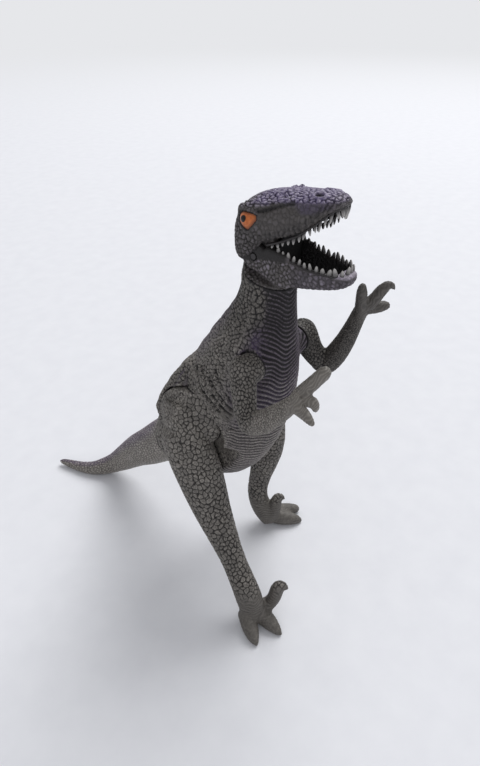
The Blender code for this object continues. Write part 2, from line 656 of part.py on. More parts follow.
def arm(name, side, seat, upper_shares, forearm_shares, finger_shares):
    """Upper arm, bent forearm and a hand of three fingers, in one skin."""
    centre = seat.frame.translation
    shell = limb(name + "_arm", scaled_rows(upper_shares, ARM_LENGTH, centre, side), ARM_SIDES, "skin")
    forearm = limb(name + "_forearm", scaled_rows(forearm_shares, ARM_LENGTH, centre, side), ARM_SIDES)
    face = rod(name + "_arm_face", seat.frame, 2 * seat.seat, -CUT_OVERRUN, 2 * JOINT_GAP)
    change(shell, [face])
    top = seat.limb_wall + FLANGE_THICKNESS + 2 * LIMB_WALL
    hub = rod(name + "_hub", seat.frame, seat.seat, JOINT_GAP, top)
    fingers = [limb(f"{name}_finger_{i + 1}", scaled_rows(rows, ARM_LENGTH, centre, side), DIGIT_SIDES)
               for i, rows in enumerate(finger_shares)]
    change(shell, [forearm, hub, *fingers], "UNION")
    return change(shell, [flange_room(seat), stem_hole(seat, -SKIN_WALL, 2 * LIMB_WALL)])


def head_point(across, back, up, origin):
    return origin + Vector((across, back, up)) * HEAD_LENGTH


def head_loft(name, rows, origin, sides, squares, kind=None, inset=0.0, lift=0.0):
    """Loft from back to front over rows of back, top, low edge and half width."""
    rings = []
    for back, top, low, half in smooth(rows, BODY_STEPS):
        centre = head_point(0.0, back, (top + low) / 2, origin) + Vector((0.0, 0.0, lift))
        across = Vector((half * HEAD_LENGTH - inset, 0.0, 0.0))
        rings.append(oval(centre, across, Vector((0.0, 0.0, (top - low) / 2 * HEAD_LENGTH)), sides, *squares))
    return loft(name, rings, kind)


def side_outline(shares, origin):
    return [(origin.y + back * HEAD_LENGTH, origin.z + up * HEAD_LENGTH) for back, up in shares]


def head_shell(seat, hinge):
    """Skull, upper jaw and collar, opened for the jaw's ears, the mouth, the eyes and the neck plug."""
    origin = seat.frame.translation
    shell = head_loft("head_shell", SKULL_SHARES, origin, TRUNK_SIDES, SKULL_SQUARES, "skin")
    axis = seat.frame.to_3x3() @ Vector((0.0, 0.0, 1.0))
    depth = axis.cross(Vector((1.0, 0.0, 0.0)))
    rings = [oval(origin + axis * JOINT_GAP, Vector((seat.seat, 0.0, 0.0)), depth * seat.seat, TRUNK_SIDES)]
    for height, radius in COLLAR_SHARES:
        rings.append(oval(origin + axis * height * HEAD_LENGTH, Vector((radius * HEAD_LENGTH, 0.0, 0.0)),
                          depth * radius * HEAD_LENGTH, TRUNK_SIDES))
    change(shell, [loft("collar", rings)], "UNION")
    slot_in = JAW_EAR_INNER - JOINT_GAP
    slot_out = JAW_EAR_OUTER + JOINT_GAP
    cutters = [prism("throat_cut", side_outline(THROAT_OUTLINE_SHARES, origin),
                     origin.x - 2 * seat.seat, origin.x + 2 * seat.seat)]
    for side, name in ((-1, "right"), (1, "left")):
        cutters.append(prism(name + "_cheek_cut", side_outline(CHEEK_OUTLINE_SHARES, origin),
                             origin.x + side * (slot_in - JOINT_GAP), origin.x + side * 2 * seat.seat))
        cutters.append(rod(name + "_ear_slot", hinge, JAW_EAR_RADIUS + JOINT_GAP,
                           *sorted((side * slot_in, side * slot_out))))
        pin = hinge.translation
        wedge = [(pin.y, pin.z), *arc_outline(pin, EAR_SLOT_SHARE * HEAD_LENGTH, EAR_SLOT_DEGREES)]
        cutters.append(prism(name + "_flank_slot", wedge, origin.x + side * slot_in,
                             origin.x + side * slot_out))
        out, back, up = EYE_SHARES
        cutters.append(ball(name + "_eye_socket", head_point(side * out, back, up, origin),
                            [EYE_SHARE * HEAD_LENGTH + JOINT_GAP] * 3, EYE_SEGMENTS))
    rings = []
    rise = Vector((0.0, 0.0, PALATE_SHARE * HEAD_LENGTH))
    for back, lip, half in PALATE_SHARES:
        rings.append(oval(head_point(0.0, back, lip, origin), Vector((half * HEAD_LENGTH, 0.0, 0.0)), rise,
                          TRUNK_SIDES, *LIP_SQUARES))
    cutters.append(loft("palate_cut", rings))
    cutters.append(rod("jaw_pin_hole", hinge, JAW_PIN_RADIUS + JOINT_GAP, -JAW_EAR_OUTER, JAW_EAR_OUTER,
                       steps=PIN_STEPS))
    centre, radii = SKULL_HOLLOW_SHARES
    cutters.append(ball("skull_hollow", head_point(*centre, origin), Vector(radii) * HEAD_LENGTH))
    cutters.append(rod("skull_core", seat.frame, NECK_STEM_RADIUS, seat.limb_wall, 2 * NECK_SEAT_RADIUS,
                       steps=PIN_STEPS))
    cutters += [flange_room(seat), stem_hole(seat, -SKIN_WALL, 2 * LIMB_WALL)]
    return change(shell, cutters)


def lower_jaw(seat, hinge):
    """Trough of the lower jaw with two ears that turn on the pin."""
    origin = seat.frame.translation
    shell = head_loft("lower_jaw", JAW_SHARES, origin, TRUNK_SIDES, JAW_SQUARES, "skin")
    start, rise = JAW_CHANNEL_SHARES
    channel_rows = [(back, top + rise, low + JAW_WALL / HEAD_LENGTH, half)
                    for back, top, low, half in JAW_SHARES[:-2]]
    channel_rows[0] = (channel_rows[0][0] + start, *channel_rows[0][1:])
    channel = head_loft("jaw_channel", channel_rows, origin, LEG_SIDES, CHANNEL_SQUARES, inset=JAW_WALL)
    change(shell, [channel])
    outline = [*side_outline(FLANK_OUTLINE_SHARES, origin),
               *arc_outline(hinge.translation, JAW_EAR_RADIUS, JAW_EAR_DEGREES)]
    ears = [prism(name + "_jaw_ear", outline, origin.x + side * JAW_EAR_INNER, origin.x + side * JAW_EAR_OUTER)
            for side, name in ((-1, "right"), (1, "left"))]
    change(shell, ears, "UNION")
    return change(shell, [rod("jaw_ear_hole", hinge, JAW_PIN_RADIUS + JOINT_GAP, -2 * JAW_EAR_OUTER,
                              2 * JAW_EAR_OUTER, steps=PIN_STEPS)])


def mouth_liner(seat):
    """Thin dark lining of the throat and palate."""
    origin = seat.frame.translation
    rings = []
    path = [head_point(0.0, back, up, origin) for back, up, half in LINER_SHARES]
    for i, (back, up, half) in enumerate(LINER_SHARES):
        along = (path[min(i + 1, len(path) - 1)] - path[max(i - 1, 0)]).normalized()
        upward = along.cross(Vector((1.0, 0.0, 0.0))) * LINER_THICKNESS / 2
        rings.append(oval(path[i], Vector((half * HEAD_LENGTH, 0.0, 0.0)), upward, ARM_SIDES, *LINER_SQUARES))
    return loft("mouth_liner", rings, "liner")


def tooth_row(name, rows, origin, count, up, inset):
    """Rail round a jaw with a pointed tooth at every other ring. Up is 1 below, -1 in the upper jaw."""
    half_path = [(half * HEAD_LENGTH - inset, back, height) for back, height, half in smooth(rows, GUM_STEPS)]
    path = [Vector((x, back * HEAD_LENGTH, height * HEAD_LENGTH)) for x, back, height in half_path]
    path += [Vector((-x, back * HEAD_LENGTH, height * HEAD_LENGTH)) for x, back, height in reversed(half_path)]
    lengths = [0.0]
    for a, b in zip(path, path[1:]):
        lengths.append(lengths[-1] + (b - a).length)
    rings = []
    for k in range(2 * count + 1):
        target = lengths[-1] * k / (2 * count)
        i = min(max(j for j, length in enumerate(lengths) if length <= target), len(path) - 2)
        along = (path[i + 1] - path[i]).normalized()
        spot = origin + path[i] + along * (target - lengths[i])
        inward = Vector((along.y, -along.x, 0.0)).normalized()
        forward = 1.0 - abs(k / count - 1.0)
        tall = BACK_TOOTH_LENGTH + (TOOTH_LENGTH - BACK_TOOTH_LENGTH) * forward if k % 2 else TOOTH_GUM
        thin = TOOTH_POINT if k % 2 else TOOTH_WIDTH / 2
        ring = [spot + inward * sideways + Vector((0.0, 0.0, up * height))
                for sideways, height in ((-TOOTH_WIDTH / 2, -TOOTH_ROOT), (TOOTH_WIDTH / 2, -TOOTH_ROOT),
                                         (TOOTH_WIDTH / 2, 0.0), (thin, tall), (-thin, tall),
                                         (-TOOTH_WIDTH / 2, 0.0))]
        rings.append(ring)
    return loft(name, rings, "tooth")


def stand_at_origin():
    """Move the whole figure so that the middle of its footprint is at the origin."""
    graph = bpy.context.evaluated_depsgraph_get()
    low = Vector((math.inf, math.inf, math.inf))
    high = -low
    for thing in FIGURE.objects:
        if thing.type != "MESH":
            continue
        shape = thing.evaluated_get(graph)
        for vertex in shape.data.vertices:
            spot = shape.matrix_world @ vertex.co
            low = Vector(map(min, low, spot))
            high = Vector(map(max, high, spot))
    shift = Matrix.Translation((-(low.x + high.x) / 2, -(low.y + high.y) / 2, -low.z))
    for thing in [*FIGURE.objects, *CUTTERS.all_objects]:
        if thing.parent is None:
            thing.matrix_world = shift @ thing.matrix_world


for old in list(bpy.data.objects):
    bpy.data.objects.remove(old, do_unlink=True)
FIGURE = collection("toy_dinosaur")
CUTTERS = collection("cutters")

SEATS = {
    "neck": seat_at("neck", seat_point(NECK_SHARES), Vector((0.0, -math.sin(NECK_LEAN), math.cos(NECK_LEAN))),
                    NECK_SEAT_RADIUS, NECK_STEM_RADIUS, NECK_FLANGE_RADIUS),
    "tail": seat_at("tail", seat_point(TAIL_SHARES), Vector((0.0, math.cos(TAIL_DROP), -math.sin(TAIL_DROP))),
                    TAIL_SEAT_RADIUS, TAIL_STEM_RADIUS, TAIL_FLANGE_RADIUS),
}
for SIDE, WORD in ((-1, "right"), (1, "left")):
    OUT = Vector((SIDE, 0.0, 0.0))
    SEATS[WORD + "_shoulder"] = seat_at(WORD + "_shoulder", shoulder_centre(SIDE), OUT, SHOULDER_SEAT_RADIUS,
                                        SHOULDER_STEM_RADIUS, SHOULDER_FLANGE_RADIUS)
    SEATS[WORD + "_hip"] = seat_at(WORD + "_hip", HIPS + OUT * HIP_SEAT_OFFSET, OUT, HIP_SEAT_RADIUS,
                                   HIP_STEM_RADIUS, HIP_FLANGE_RADIUS)

torso_shell(SEATS)
hang([tail_shell(SEATS["tail"]), seat_plug(SEATS["tail"])], joint_pivot(SEATS["tail"]))
for SIDE, WORD, LEG_TABLES, ARM_TABLES in (
        (-1, "right", (RIGHT_LEG_SHARES, RIGHT_TOE_SHARES),
         (RIGHT_UPPER_ARM_SHARES, RIGHT_FOREARM_SHARES, RIGHT_FINGER_SHARES)),
        (1, "left", (LEFT_LEG_SHARES, LEFT_TOE_SHARES),
         (LEFT_UPPER_ARM_SHARES, LEFT_FOREARM_SHARES, LEFT_FINGER_SHARES))):
    HIP = SEATS[WORD + "_hip"]
    SHOULDER = SEATS[WORD + "_shoulder"]
    hang([leg(WORD, SIDE, HIP, *LEG_TABLES), seat_plug(HIP)], joint_pivot(HIP))
    hang([arm(WORD, SIDE, SHOULDER, *ARM_TABLES), seat_plug(SHOULDER)], joint_pivot(SHOULDER))

NECK = SEATS["neck"]
ORIGIN = NECK.frame.translation
HINGE = aimed(head_point(0.0, *HINGE_SHARES, ORIGIN), Vector((1.0, 0.0, 0.0)))
EYES = [ball(f"eye_{WORD}", head_point(SIDE * EYE_SHARES[0], EYE_SHARES[1], EYE_SHARES[2], ORIGIN),
             [EYE_SHARE * HEAD_LENGTH] * 3, EYE_SEGMENTS, "eye") for SIDE, WORD in ((-1, "right"), (1, "left"))]
UPPER_ROW = tooth_row("upper_teeth", UPPER_GUM_SHARES, ORIGIN, UPPER_TEETH, -1,
                      TOOTH_WIDTH / 2 + JOINT_GAP)
LOWER_ROW = tooth_row("lower_teeth", LOWER_GUM_SHARES, ORIGIN, LOWER_TEETH, 1,
                      JAW_WALL + TOOTH_WIDTH / 2 + JOINT_GAP)
NECK_PIVOT = joint_pivot(NECK)
PIN = rod("jaw_pin", HINGE, JAW_PIN_RADIUS, -JAW_EAR_OUTER, JAW_EAR_OUTER, "plug", PIN_STEPS)
hang([head_shell(NECK, HINGE), seat_plug(NECK), mouth_liner(NECK), UPPER_ROW, PIN, *EYES], NECK_PIVOT)
JAW_PIVOT = joint_pivot(Seat("jaw", HINGE, JAW_EAR_RADIUS, JAW_PIN_RADIUS, JAW_EAR_RADIUS, LIMB_WALL))
hang([lower_jaw(NECK, HINGE), LOWER_ROW], JAW_PIVOT)
hang([JAW_PIVOT], NECK_PIVOT)
stand_at_origin()
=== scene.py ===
"""Toy two-legged dinosaur: painted vinyl skins on plastic swivel plugs, standing on a pale table."""

import json
import math

import bmesh
import bpy
import numpy as np
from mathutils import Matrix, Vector, bvhtree, kdtree, noise


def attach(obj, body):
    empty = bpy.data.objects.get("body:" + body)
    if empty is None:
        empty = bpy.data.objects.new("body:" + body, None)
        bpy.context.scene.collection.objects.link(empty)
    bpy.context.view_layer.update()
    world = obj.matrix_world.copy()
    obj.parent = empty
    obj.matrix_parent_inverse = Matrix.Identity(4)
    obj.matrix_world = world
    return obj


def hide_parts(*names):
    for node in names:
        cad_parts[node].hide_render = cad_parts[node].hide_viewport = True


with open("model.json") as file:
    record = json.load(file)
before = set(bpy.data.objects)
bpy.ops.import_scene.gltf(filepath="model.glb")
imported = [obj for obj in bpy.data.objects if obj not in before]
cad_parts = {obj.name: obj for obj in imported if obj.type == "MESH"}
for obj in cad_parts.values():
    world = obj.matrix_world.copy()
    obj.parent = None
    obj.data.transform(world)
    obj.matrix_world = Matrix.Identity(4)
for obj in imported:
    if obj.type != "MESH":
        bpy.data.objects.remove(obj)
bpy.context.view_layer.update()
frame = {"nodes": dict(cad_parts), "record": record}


# ---- Trunk ----
# The trunk is a hollow skin of soft vinyl (PVC), cast in a turning mould that carries every scale.
# It comes out in one grey-brown colour; a dark wash is wiped into the grooves, and the crests are
# dry-brushed and sprayed with violet. Painted shade darkens the upper chest, the throat, the band beside
# the ribs, the hip hollow and the seams. All lengths below are millimetres unless a name says otherwise.
MM = 1000.0
FAR = 6.0                       # gaps to other pieces are not looked for beyond this
SHADOW_RAYS = 40                # looks taken round a face to tell the outside of a skin from its hollow
RAY_START = 1e-5                # they start this far off the face, in metres
HOLLOW_SHARE = 0.05             # a face that sees less sky than this is inside
HOLLOW_WORTH = 0.05             # a hollow side is thinned out if it is more than this share of a skin
HOLLOW_DETAIL = 0.06            # share of the faces that it then keeps
FILL_SCALE = 1.12               # an eye is grown by this to close its socket in the skin's copy
SEAM_FREE = (0.5, 2.2)          # carving starts and is full at these distances from another piece
EASE_FREE = (0.1, 1.2)          # the same for rounding off
SEAM_SHADE = (0.2, 0.9)          # painted seam shade is full and ends at these distances
NOISE_GAIN = 1.8                # brings the noise up to about -1 to 1
CELL_DRIFT = (0.22, 0.9)        # scales are bent by and over these shares of their pitch
CELL_SPACING = (0.66, 0.95)     # least distance of two scales, in shares of the pitch
DOME_SHARE = 0.62               # a scale is highest from this share of the pitch on
SATIN = (0.5, 0.7)              # roughness of bare vinyl and of the wash


def linear(hex_colour):
    """Linear colour of an sRGB hex value."""
    channels = [int(hex_colour[i:i + 2], 16) / 255 for i in (1, 3, 5)]
    return [c / 12.92 if c <= 0.04045 else ((c + 0.055) / 1.055) ** 2.4 for c in channels] + [1.0]


def fresh_tree(owner):
    """Empty node tree of a material or world."""
    owner.use_nodes = True
    owner.node_tree.nodes.clear()
    return owner.node_tree


def add(tree, kind, settings=None):
    """Adds one node. A setting is a property, or an input by name or number: its value or its source."""
    node = tree.nodes.new(kind)
    for key, value in (settings or {}).items():
        if isinstance(value, bpy.types.NodeSocket):
            tree.links.new(value, node.inputs[key])
        elif isinstance(key, str) and hasattr(node, key):
            setattr(node, key, value)
        else:
            node.inputs[key].default_value = value
    return node


def calculate(tree, operation, *inputs, clamp=False):
    settings = {"operation": operation, "use_clamp": clamp, **dict(enumerate(inputs))}
    return add(tree, "ShaderNodeMath", settings).outputs[0]


def blend(tree, share, low, high):
    """Mix of two colours."""
    return add(tree, "ShaderNodeMix", {"data_type": "RGBA", 0: share, 6: low, 7: high}).outputs[2]


def remap(tree, value, low, high, to_low=0.0, to_high=1.0):
    return add(tree, "ShaderNodeMapRange", {"Value": value, "From Min": low, "From Max": high,
                                            "To Min": to_low, "To Max": to_high}).outputs[0]


def grains(tree, place, across, detail, rough=0.5):
    """Noise whose lumps are about so many millimetres across."""
    return add(tree, "ShaderNodeTexNoise", {"Vector": place, "Scale": MM / across, "Detail": detail,
                                            "Roughness": rough}).outputs["Fac"]


def put(name, data):
    """New object in the scene."""
    made = bpy.data.objects.new(name, data)
    bpy.context.scene.collection.objects.link(made)
    return made


def baked(shape, name):
    """Mesh of a shape that was built up in bmesh."""
    mesh = bpy.data.meshes.new(name)
    shape.to_mesh(mesh)
    shape.free()
    return mesh


def ramp(values, low, high):
    """0 below low, 1 above high, and smooth between."""
    t = np.clip((values - low) / (high - low), 0.0, 1.0)
    return t * t * (3.0 - 2.0 * t)


def fall(values, low, high):
    """1 below low, 0 above high, and smooth between."""
    return 1.0 - ramp(values, low, high)


def bell(values, width):
    """1 where the values are 0, and fading over the width."""
    return np.exp(-(values / width) ** 2)


def waves(turns):
    """1, down to 0 and back once a turn."""
    return 0.5 + 0.5 * np.cos(2.0 * math.pi * turns)


def between(share, low, high):
    return high * share + low * (1.0 - share)


def mirrored(points, middle):
    """The points with those of the left side moved over to the right."""
    return np.column_stack([middle - np.abs(points[:, 0] - middle), points[:, 1:]])


def wander(points, size, offset=0.0):
    """Slow random value at each point, about -1 to 1."""
    scaled = points / size + offset
    return np.array([noise.noise(Vector(p)) for p in scaled.tolist()]) * NOISE_GAIN


def path_gap(points, path):
    """Distance of each point from a line of straight pieces."""
    path = np.array(path, float)
    least = np.full(len(points), 1e9)
    for start, end in zip(path, path[1:]):
        along = end - start
        share = np.clip((points - start) @ along / (along @ along), 0.0, 1.0)
        least = np.minimum(least, np.linalg.norm(points - start - share[:, None] * along, axis=1))
    return least


def sky_rays():
    """Even directions over a sphere."""
    turn = math.pi * (3.0 - math.sqrt(5.0))
    height = 1.0 - 2.0 * (np.arange(SHADOW_RAYS) + 0.5) / SHADOW_RAYS
    flat = np.sqrt(1.0 - height ** 2)
    angle = turn * np.arange(SHADOW_RAYS)
    return [Vector(v) for v in np.column_stack([flat * np.cos(angle), flat * np.sin(angle), height]).tolist()]


class Skin:
    """An even, fine copy of one solid, whose points are carved and painted in millimetres."""

    def __init__(self, node, body, grain, name, filled=()):
        solid = bmesh.new()
        solid.from_mesh(frame["nodes"][node].data)
        for other in filled:
            first = len(solid.verts)
            solid.from_mesh(frame["nodes"][other].data)
            solid.verts.ensure_lookup_table()
            grown = solid.verts[first:]
            middle = sum((v.co for v in grown), Vector()) / len(grown)
            for vertex in grown:
                vertex.co = middle + (vertex.co - middle) * FILL_SCALE
        bmesh.ops.remove_doubles(solid, verts=solid.verts, dist=1e-6)
        solid.normal_update()
        self.node, self.body, self.tree = node, body, bvhtree.BVHTree.FromBMesh(solid)
        self.hollow_faces = self.find_hollow(solid)
        self.piece = put(name, baked(solid, name))
        self.change("REMESH", mode="VOXEL", voxel_size=grain / MM)
        self.read()
        hollow = self.find_side()
        if hollow.mean() > HOLLOW_WORTH:
            group = self.piece.vertex_groups.new(name="hollow")
            group.add(np.flatnonzero(hollow).tolist(), 1.0, "REPLACE")
            kept = 1.0 - hollow.mean() * (1.0 - HOLLOW_DETAIL)
            self.change("DECIMATE", ratio=kept, vertex_group="hollow", vertex_group_factor=1000.0)
            self.read()
            hollow = self.find_side()
        self.outside = np.flatnonzero(~hollow)
        self.hollow = hollow
        self.gap = self.find_gap()
        self.free = ramp(self.gap, *SEAM_FREE) * ~hollow

    def find_hollow(self, solid):
        rays = sky_rays()
        sides = []
        for face in solid.faces:
            start = face.calc_center_median() + face.normal * RAY_START
            looks = [ray for ray in rays if ray.dot(face.normal) > 0.1]
            seen = sum(self.tree.ray_cast(start, ray)[0] is None for ray in looks)
            sides.append(seen < HOLLOW_SHARE * len(looks))
        return sides

    def find_side(self):
        return np.array([self.hollow_faces[self.tree.find_nearest(Vector(p))[2]]
                         for p in (self.at / MM).tolist()])

    def find_gap(self):
        """Distance of each outer point from the nearest piece that moves apart from this one."""
        points, faces = [], []
        for body, members in frame["record"]["behaviour"]["bodies"].items():
            for member in members if body != self.body else []:
                mesh = frame["nodes"][member].data
                first = len(points)
                points += [v.co.copy() for v in mesh.vertices]
                faces += [[first + v for v in face.vertices] for face in mesh.polygons]
        others = bvhtree.BVHTree.FromPolygons(points, faces)
        gap = np.full(len(self.at), FAR)
        for i in self.outside.tolist():
            found = others.find_nearest(Vector(self.at[i] / MM), FAR / MM)[3]
            if found is not None:
                gap[i] = found * MM
        return gap

    def change(self, kind, **settings):
        """Applies one modifier."""
        modifier = self.piece.modifiers.new(kind, kind)
        for key, value in settings.items():
            setattr(modifier, key, value)
        graph = bpy.context.evaluated_depsgraph_get()
        mesh = bpy.data.meshes.new_from_object(self.piece.evaluated_get(graph))
        self.piece.modifiers.clear()
        self.piece.data = mesh

    def read(self):
        mesh = self.piece.data
        flat = np.empty(len(mesh.vertices) * 3)
        mesh.vertices.foreach_get("co", flat)
        self.at = flat.reshape(-1, 3) * MM
        pairs = np.empty(len(mesh.edges) * 2, int)
        mesh.edges.foreach_get("vertices", pairs)
        self.ends = pairs.reshape(-1, 2).T
        self.links = np.maximum(np.bincount(pairs, minlength=len(self.at)), 1)

    def mean(self, values):
        """Average of the neighbours of each point."""
        first, second = self.ends
        total = np.empty_like(values)
        for k in range(values.shape[1]):
            column = np.ascontiguousarray(values[:, k])
            total[:, k] = (np.bincount(first, column[second], len(column))
                           + np.bincount(second, column[first], len(column)))
        return total / self.links[:, None]

    def relax(self, values, rounds, share):
        for _ in range(rounds):
            values = values + share * (self.mean(values) - values)
        return values

    def ease(self, rounds, share=0.5):
        """Rounds off the flats of the solid and keeps its girth."""
        share = (share * ramp(self.gap, *EASE_FREE) * ~self.hollow)[:, None]
        soft = self.relax(self.at, rounds, share)
        self.at = soft + self.relax(self.at - soft, rounds, share)

    def facing(self):
        mesh = self.piece.data
        mesh.vertices.foreach_set("co", (self.at / MM).ravel())
        mesh.update()
        flat = np.empty(len(self.at) * 3)
        mesh.vertex_normals.foreach_get("vector", flat)
        return flat.reshape(-1, 3)

    def press(self, height):
        """Moves each point out along its facing, or in where the height is negative."""
        self.at = self.at + self.facing() * (height * self.free)[:, None]

    def seam_shade(self):
        """Painted shade in the seams between pieces."""
        return fall(self.gap, *SEAM_SHADE)

    def scales(self, pitch, seed, long_way=(0.0, 0.0, 1.0), stretch=1.0):
        """Cells over the skin: distance from the groove, 0 to 1, and a random tone for each cell."""
        way = np.array(long_way) / np.linalg.norm(long_way)
        by, over = CELL_DRIFT
        drift = np.column_stack([wander(self.at, pitch * over, 11.0 * k) for k in (1, 2, 3)])
        bent = self.at + by * pitch * drift
        squeezed = bent - np.outer(bent @ way, way) * (1.0 - 1.0 / stretch)
        points = [Vector(p) for p in squeezed[self.outside].tolist()]
        tree = kdtree.KDTree(len(points))
        for i, point in enumerate(points):
            tree.insert(point, i)
        tree.balance()
        random = np.random.default_rng(seed)
        covered = bytearray(len(points))
        middles = []
        for i in random.permutation(len(points)).tolist():
            if not covered[i]:
                middles.append(points[i])
                for _, j, _ in tree.find_range(points[i], pitch * random.uniform(*CELL_SPACING)):
                    covered[j] = 1
        cells = kdtree.KDTree(len(middles))
        for i, point in enumerate(middles):
            cells.insert(point, i)
        cells.balance()
        tones = random.random(len(middles))
        groove = np.ones(len(self.at))
        tone = np.full(len(self.at), 0.5)
        for i, point in zip(self.outside.tolist(), points):
            near, next_near = cells.find_n(point, 2)
            groove[i] = (next_near[2] - near[2]) / pitch
            tone[i] = tones[near[1]]
        return np.clip(groove / DOME_SHARE, 0.0, 1.0), tone

    def paint(self, **layers):
        """Keeps one number a point for each layer of paint."""
        for name, values in layers.items():
            layer = self.piece.data.attributes.new(name, "FLOAT", "POINT")
            layer.data.foreach_set("value", np.clip(values, 0.0, 1.0).astype(np.float32))

    def finish(self, material):
        self.facing()
        mesh = self.piece.data
        mesh.materials.clear()
        mesh.materials.append(material)
        mesh.shade_smooth()
        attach(self.piece, self.body)
        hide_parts(self.node)


def pebble(groove, dimple=0.0):
    """Cross-section of one scale: a dome, with a dimple where it has one."""
    dome = 1.0 - fall(groove, 0.0, 0.7) ** 1.5
    return dome - dimple * ramp(groove, 0.5, 1.0)


def painted_vinyl(name, base, light, wash, rub, spray, pore=0.55):
    """Satin cast PVC: wash in the grooves, painted shade, dry-brushed crests and a soft violet spray."""
    material = bpy.data.materials.new(name)
    tree = fresh_tree(material)
    place = add(tree, "ShaderNodeTexCoord").outputs["Object"]
    groove, tone, violet, crest, clean = (
        add(tree, "ShaderNodeAttribute", {"attribute_name": layer}).outputs["Fac"]
        for layer in ("groove", "tone", "violet", "crest", "clean"))
    # Casting leaves a cloudy colour some 8 mm across; the pores are half a millimetre.
    cloud = grains(tree, place, 8.0, 4.0, 0.6)
    speck = grains(tree, place, 0.9, 3.0, 0.65)
    pores = add(tree, "ShaderNodeTexVoronoi", {"feature": "F1", "Scale": MM / pore,
                                               "Vector": place}).outputs["Distance"]
    mixed = calculate(tree, "MULTIPLY_ADD", tone, 0.55, calculate(tree, "MULTIPLY_ADD", cloud, 1.1, -0.35))
    colour = blend(tree, mixed, linear(base), linear(light))
    sprayed = calculate(tree, "MULTIPLY", violet, remap(tree, speck, 0.32, 0.62, 0.45))
    colour = blend(tree, sprayed, colour, linear(spray))
    rubbed = calculate(tree, "MULTIPLY", crest, remap(tree, speck, 0.35, 0.7, 0.25))
    colour = blend(tree, rubbed, colour, linear(rub))
    # The wash also settles in the pores.
    in_pores = remap(tree, pores, 0.25, 0.75, 0.0, 0.45)
    fine = calculate(tree, "SUBTRACT", in_pores, clean, clamp=True)
    # The groove layer brings both the wash and the painted shade laid on each skin.
    wash_and_painted_shade = calculate(tree, "ADD", groove, fine, clamp=True)
    colour = blend(tree, wash_and_painted_shade, colour, linear(wash))
    relief = calculate(tree, "SUBTRACT", speck, pores)
    bump = add(tree, "ShaderNodeBump", {"Strength": 0.8, "Distance": 0.14 / MM, "Height": relief})
    surface = add(tree, "ShaderNodeBsdfPrincipled", {
        "Base Color": colour, "Roughness": remap(tree, wash_and_painted_shade, 0.0, 1.0, *SATIN), "Normal": bump.outputs[0],
        "IOR": 1.53, "Specular IOR Level": 0.42})
    add(tree, "ShaderNodeOutputMaterial", {"Surface": surface.outputs[0]})
    return material


GREY_BROWN, PALE_BROWN, DARK_WASH = "#5f5b56", "#7d7871", "#141112"
CREST_GREY, VIOLET = "#b4aea7", "#3f2954"
HIDE = painted_vinyl("painted_cast_vinyl", GREY_BROWN, PALE_BROWN, DARK_WASH, CREST_GREY, VIOLET)

TRUNK_MIDDLE = -0.7                     # x of the trunk's middle plane
HIP = (-25.96, 90.0)                    # y and z of the hip axis
HIP_SEATS = {-1: -14.3, 1: 12.9}        # x of the flat seats
HIP_RADIUS = 19.3
RUMP_RIM = 6.0                          # trunk and leg meet at this height over the seat, behind
RUMP_END = 34.0                         # there, from the axis, the swollen rump has sunk into the trunk
RUMP_PAINT = 24.0                       # its painted seam shade and the nape's spray meet here
RIB_PITCH = 1.85
RIB_DRAPE = 8.0                         # the ribs hang in the middle of the chest by this much
RIB_FAN = (20.0, 125.0)                 # the belly's ribs fan out from here, back and up
RIB_REACH = 80.0
RIB_DEPTH = 0.66
SCALE_DEPTHS = (0.56, 0.62)             # on the flank and on the chest
FLANK_FOLDS = (
    ((-17.1, -22.2, 112.3), (-20.4, -28.0, 107.6), (-21.6, -36.0, 104.2), (-20.6, -45.0, 100.8),
     (-19.4, -50.2, 98.7)),
    ((-16.3, -26.7, 120.6), (-20.9, -33.7, 114.1), (-22.0, -40.9, 110.0), (-20.4, -48.4, 104.8)),
    ((-18.0, -31.5, 122.4), (-20.6, -37.4, 116.8), (-21.8, -43.0, 111.9), (-20.3, -50.0, 106.6)),
    ((-20.0, -35.4, 123.0), (-21.5, -40.6, 117.8), (-21.1, -46.3, 113.0), (-19.6, -50.5, 109.4)),
    ((-19.4, -40.8, 125.4), (-20.5, -45.4, 118.9), (-19.9, -49.8, 113.5)),
)
HIP_RIDGE = ((-20.5, -49.0, 99.0), (-20.0, -46.6, 90.0), (-17.5, -42.5, 81.0), (-14.6, -37.9, 72.8))
HIP_HOLLOW = (-18.0, -39.0, 81.0)


def round_hip(points):
    """Distance from the hip axis, and how far a point lies in the rump behind it, 0 to 1."""
    back, up = points[:, 1] - HIP[0], points[:, 2] - HIP[1]
    angle = np.degrees(np.arctan2(up, back))
    return np.hypot(back, up), ramp(angle, -35.0, -10.0) * (1.0 - ramp(angle, 70.0, 105.0))


trunk = Skin("torso_shell", "torso", 0.41, "trunk_skin")
trunk.ease(110)
# The rump swells out to the haunch, so that the seam round the hip disc lies flush.
far, rump = round_hip(trunk.at)
for side, seat in HIP_SEATS.items():
    height = side * (trunk.at[:, 0] - seat)
    wanted = RUMP_RIM * rump * ramp(far, HIP_RADIUS, HIP_RADIUS + 0.4) * fall(far, HIP_RADIUS + 1.0, RUMP_END)
    outer = (side * (trunk.at[:, 0] - TRUNK_MIDDLE) > 6.0) & ~trunk.hollow
    swell = np.maximum(wanted - np.maximum(height, -4.0), 0.0) * ramp(wanted, 0.0, 1.5)
    trunk.at[:, 0] += side * np.where(outer & (wanted > 0.0), swell, 0.0)
soft = 0.5 * rump * ramp(far, HIP_RADIUS + 1.5, HIP_RADIUS + 4.0) * ~trunk.hollow
trunk.at = trunk.relax(trunk.at, 12, soft[:, None])
facing = trunk.facing()
at = mirrored(trunk.at, TRUNK_MIDDLE)
bent = at + 0.5 * wander(at, 5.0, 21.0)[:, None]
creased = np.zeros(len(at))
